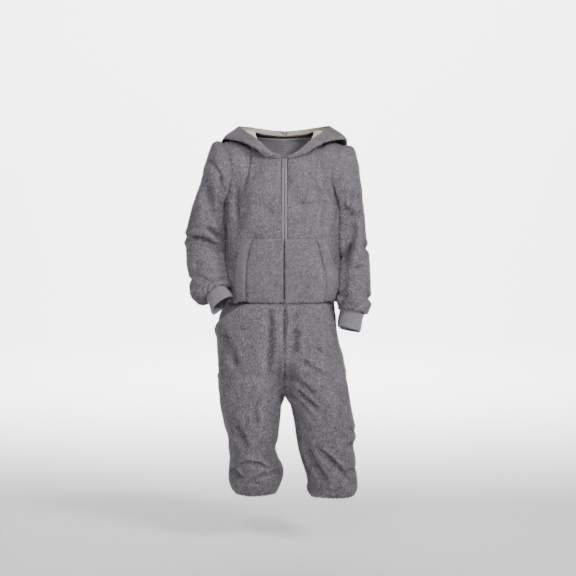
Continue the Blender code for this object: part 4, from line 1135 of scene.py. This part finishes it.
def add_cuff(node):
    points, faces = outer_skin(node)
    grid, _ = grid_of(points, quads_of(faces))
    columns = RIBS * RIB_SAMPLES
    rings = tucked(finer(grid, CUFF_ROWS - 2, columns, True))
    flat = rings.reshape(-1, 3)
    cells = grid_quads(CUFF_ROWS, columns, True)
    outward = normals_of(flat, cells)
    if (outward * (flat - flat.mean(axis=0))).sum() < 0:
        outward, cells = -outward, cells[:, ::-1]
    turn = np.tile(np.arange(columns) / RIB_SAMPLES, CUFF_ROWS)
    row = np.repeat(np.linspace(0, 1, CUFF_ROWS), columns)
    rib = np.abs(np.cos(np.pi * turn)) ** RIB_ROUND
    ends = np.clip(np.minimum(row, 1 - row) * RIB_ENDS, 0, 1) ** 0.5
    stretch = STRETCH * noise_at(flat, STRETCH_SIZE)
    height = RIB_HEIGHT * rib * (RIB_END + (1 - RIB_END) * ends) + stretch - CUFF_DEPTH
    cuff = add_mesh("rib_" + node, flat + outward * height[:, None] * MM, cells, rib_knit)
    solid = cuff.modifiers.new("thickness", "SOLIDIFY")
    solid.thickness, solid.offset = CUFF_THICK * MM, -1
    return worn(cuff, node)


smooth = {"cuff_" + side: add_cuff("cuff_" + side) for side in SIDES}
for name, cuff in smooth.items():
    print(name, len(cuff.data.polygons), "quads")

# %% [markdown]
# ## Lining and zip tapes
#
# The lining and the tapes are smooth and thin, so their solids already are sheets of the right
# thickness. Their triangles are paired into quads again and cut finer, and the lining is given
# the small unevenness of real cloth.

# %% Thin sheets from whole solids
WELD = 2e-5         # metres
FLAT_ENOUGH = 1.2   # radians: two triangles that fold more than this aren't paired
WAVE_SIZE, SHIFT_SIZE = 0.016, 0.05  # metres
WAVE_HEIGHT = 0.2   # mm
WAVE_STRETCH, WAVE_WAY = (1, 0.6, 0.35), np.array([0.5, -1.0, 0.6])


def fine_copy(node, levels):
    """The solid's own mesh in quads, cut finer."""
    work = bmesh.new()
    work.from_mesh(nodes[node].data)
    bmesh.ops.remove_doubles(work, verts=work.verts, dist=WELD)
    bmesh.ops.join_triangles(work, faces=work.faces, angle_face_threshold=FLAT_ENOUGH,
                             angle_shape_threshold=FLAT_ENOUGH)
    mesh = bpy.data.meshes.new("copy")
    work.to_mesh(mesh)
    work.free()
    thing = put("copy", mesh)
    step = thing.modifiers.new("smooth", "SUBSURF")
    step.levels = step.render_levels = levels
    found = thing.evaluated_get(bpy.context.evaluated_depsgraph_get()).to_mesh()
    fine = np.array([vertex.co for vertex in found.vertices])
    cells = np.array([face.vertices for face in found.polygons])
    bpy.data.objects.remove(thing)
    bpy.data.meshes.remove(mesh)
    return fine, cells


def add_lining(node):
    fine, cells = fine_copy(node, 2)
    wave = noise_at(fine * WAVE_STRETCH, WAVE_SIZE)
    shift = noise_at(fine, SHIFT_SIZE)
    moved = fine + (wave * WAVE_HEIGHT + shift * WAVE_HEIGHT)[:, None] * MM * WAVE_WAY
    lining = add_mesh("lining_" + node, moved, cells, cream)
    return worn(lining, node)


def add_tape(node):
    fine, cells = fine_copy(node, 1)
    return worn(add_mesh("woven_" + node, fine, cells, tape_weave), node)


for stem, add in (("hood_lining_", add_lining), ("zip_tape_", add_tape)):
    smooth.update({stem + side: add(stem + side) for side in SIDES})
print("smooth pieces:", len(smooth))

# %% [markdown]
# ## Slider and pull
#
# The zip's slider and its pull tab are die-cast metal under satin grey paint. Their solids have
# the right shape, so they stay. A small bevel catches the light on their edges.

# %% Painted metal
def painted_metal():
    paint = Paint("painted_slider", Metallic=0.35, Coat_Weight=0.3, Coat_Roughness=0.3)
    wear = paint.noise(0.0025, detail=4.0)
    paint.feed(Base_Color=paint.mix(wear, (0.10, 0.098, 0.104, 1), (0.20, 0.196, 0.205, 1)),
               Roughness=wear * 0.3 + 0.28)
    paint.bump(paint.noise(0.0006), 0.00004)
    return paint.material


satin = painted_metal()
for name in ("zip_slider", "zip_pull"):
    piece = nodes[name]
    piece.data.materials.clear()
    piece.data.materials.append(satin)
    bevel = piece.modifiers.new("soft_edges", "BEVEL")
    bevel.width, bevel.segments = 0.25 * MM, 2
print("slider and pull done")

# %% [markdown]
# ## Sizes for the cutter
#
# Every sheet's flat size, the size that it was cut to, is listed below, so that a sewing room could
# lay the pattern out. Width and length are those of the flat panel's box, and the area is the
# panel's own.

# %% Flat sizes
FLAT = {
    # cloth: how it is held, what it rests on ({0} is its own side and {1} the other), then the
    # width, length and area in metres, of the left one and the right one
    "back": ("hung", ("front_left", "front_right"), (0.40, 0.48, 0.152)),
    "front": ("hung", ("back", "zip_tape_{0}"), (0.22, 0.47, 0.069), (0.22, 0.48, 0.074)),
    "sleeve": ("gathered", ("back", "front_{0}"), (0.46, 0.53, 0.104), (0.47, 0.48, 0.113)),
    "leg_front": ("gathered", ("front_{0}", "leg_back_{0}"),
                  (0.29, 0.58, 0.117), (0.29, 0.59, 0.119)),
    "leg_back": ("gathered", ("back", "leg_front_{0}"), (0.29, 0.58, 0.120), (0.30, 0.58, 0.124)),
    "hip_pocket": ("hung", ("leg_front_{0}",), (0.11, 0.11, 0.0068), (0.15, 0.15, 0.0088)),
    "hood": ("folded", ("back", "hood_{1}"), (0.37, 0.48, 0.069), (0.37, 0.48, 0.068)),
    "pocket": ("hung", ("front_{0}",), (0.11, 0.17, 0.0162), (0.10, 0.16, 0.0150)),
    "pocket_band": ("folded", ("pocket_{0}",), (0.05, 0.17, 0.0062), (0.03, 0.16, 0.0045)),
    "cuff": ("gathered", ("sleeve_{0}",), (0.19, 0.050, 0.0091), (0.18, 0.047, 0.0078)),
    "hood_lining": ("folded", ("hood_{0}",), (0.37, 0.48, 0.0677), (0.37, 0.48, 0.0669)),
    "zip_tape": ("hung", ("front_{0}",), (0.010, 0.43, 0.0032), (0.010, 0.43, 0.0032)),
}
for kind, (held, under, *sizes) in FLAT.items():
    for side, (width, length, area) in zip(("left", "right"), sizes):
        name = f"{kind}_{side}" if len(sizes) > 1 else kind
        piece, *tufts = panels.get(name) or [smooth[name]]
        [other.format(side, OTHER_SIDE[side]) for other in under]
        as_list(tufts)
print("sheets:", len(panels) + len(smooth))

# %% Finish
size = {"cad": [list(corner) for corner in cad_box],
        "visual": [list(corner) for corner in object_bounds()]}
print(size)
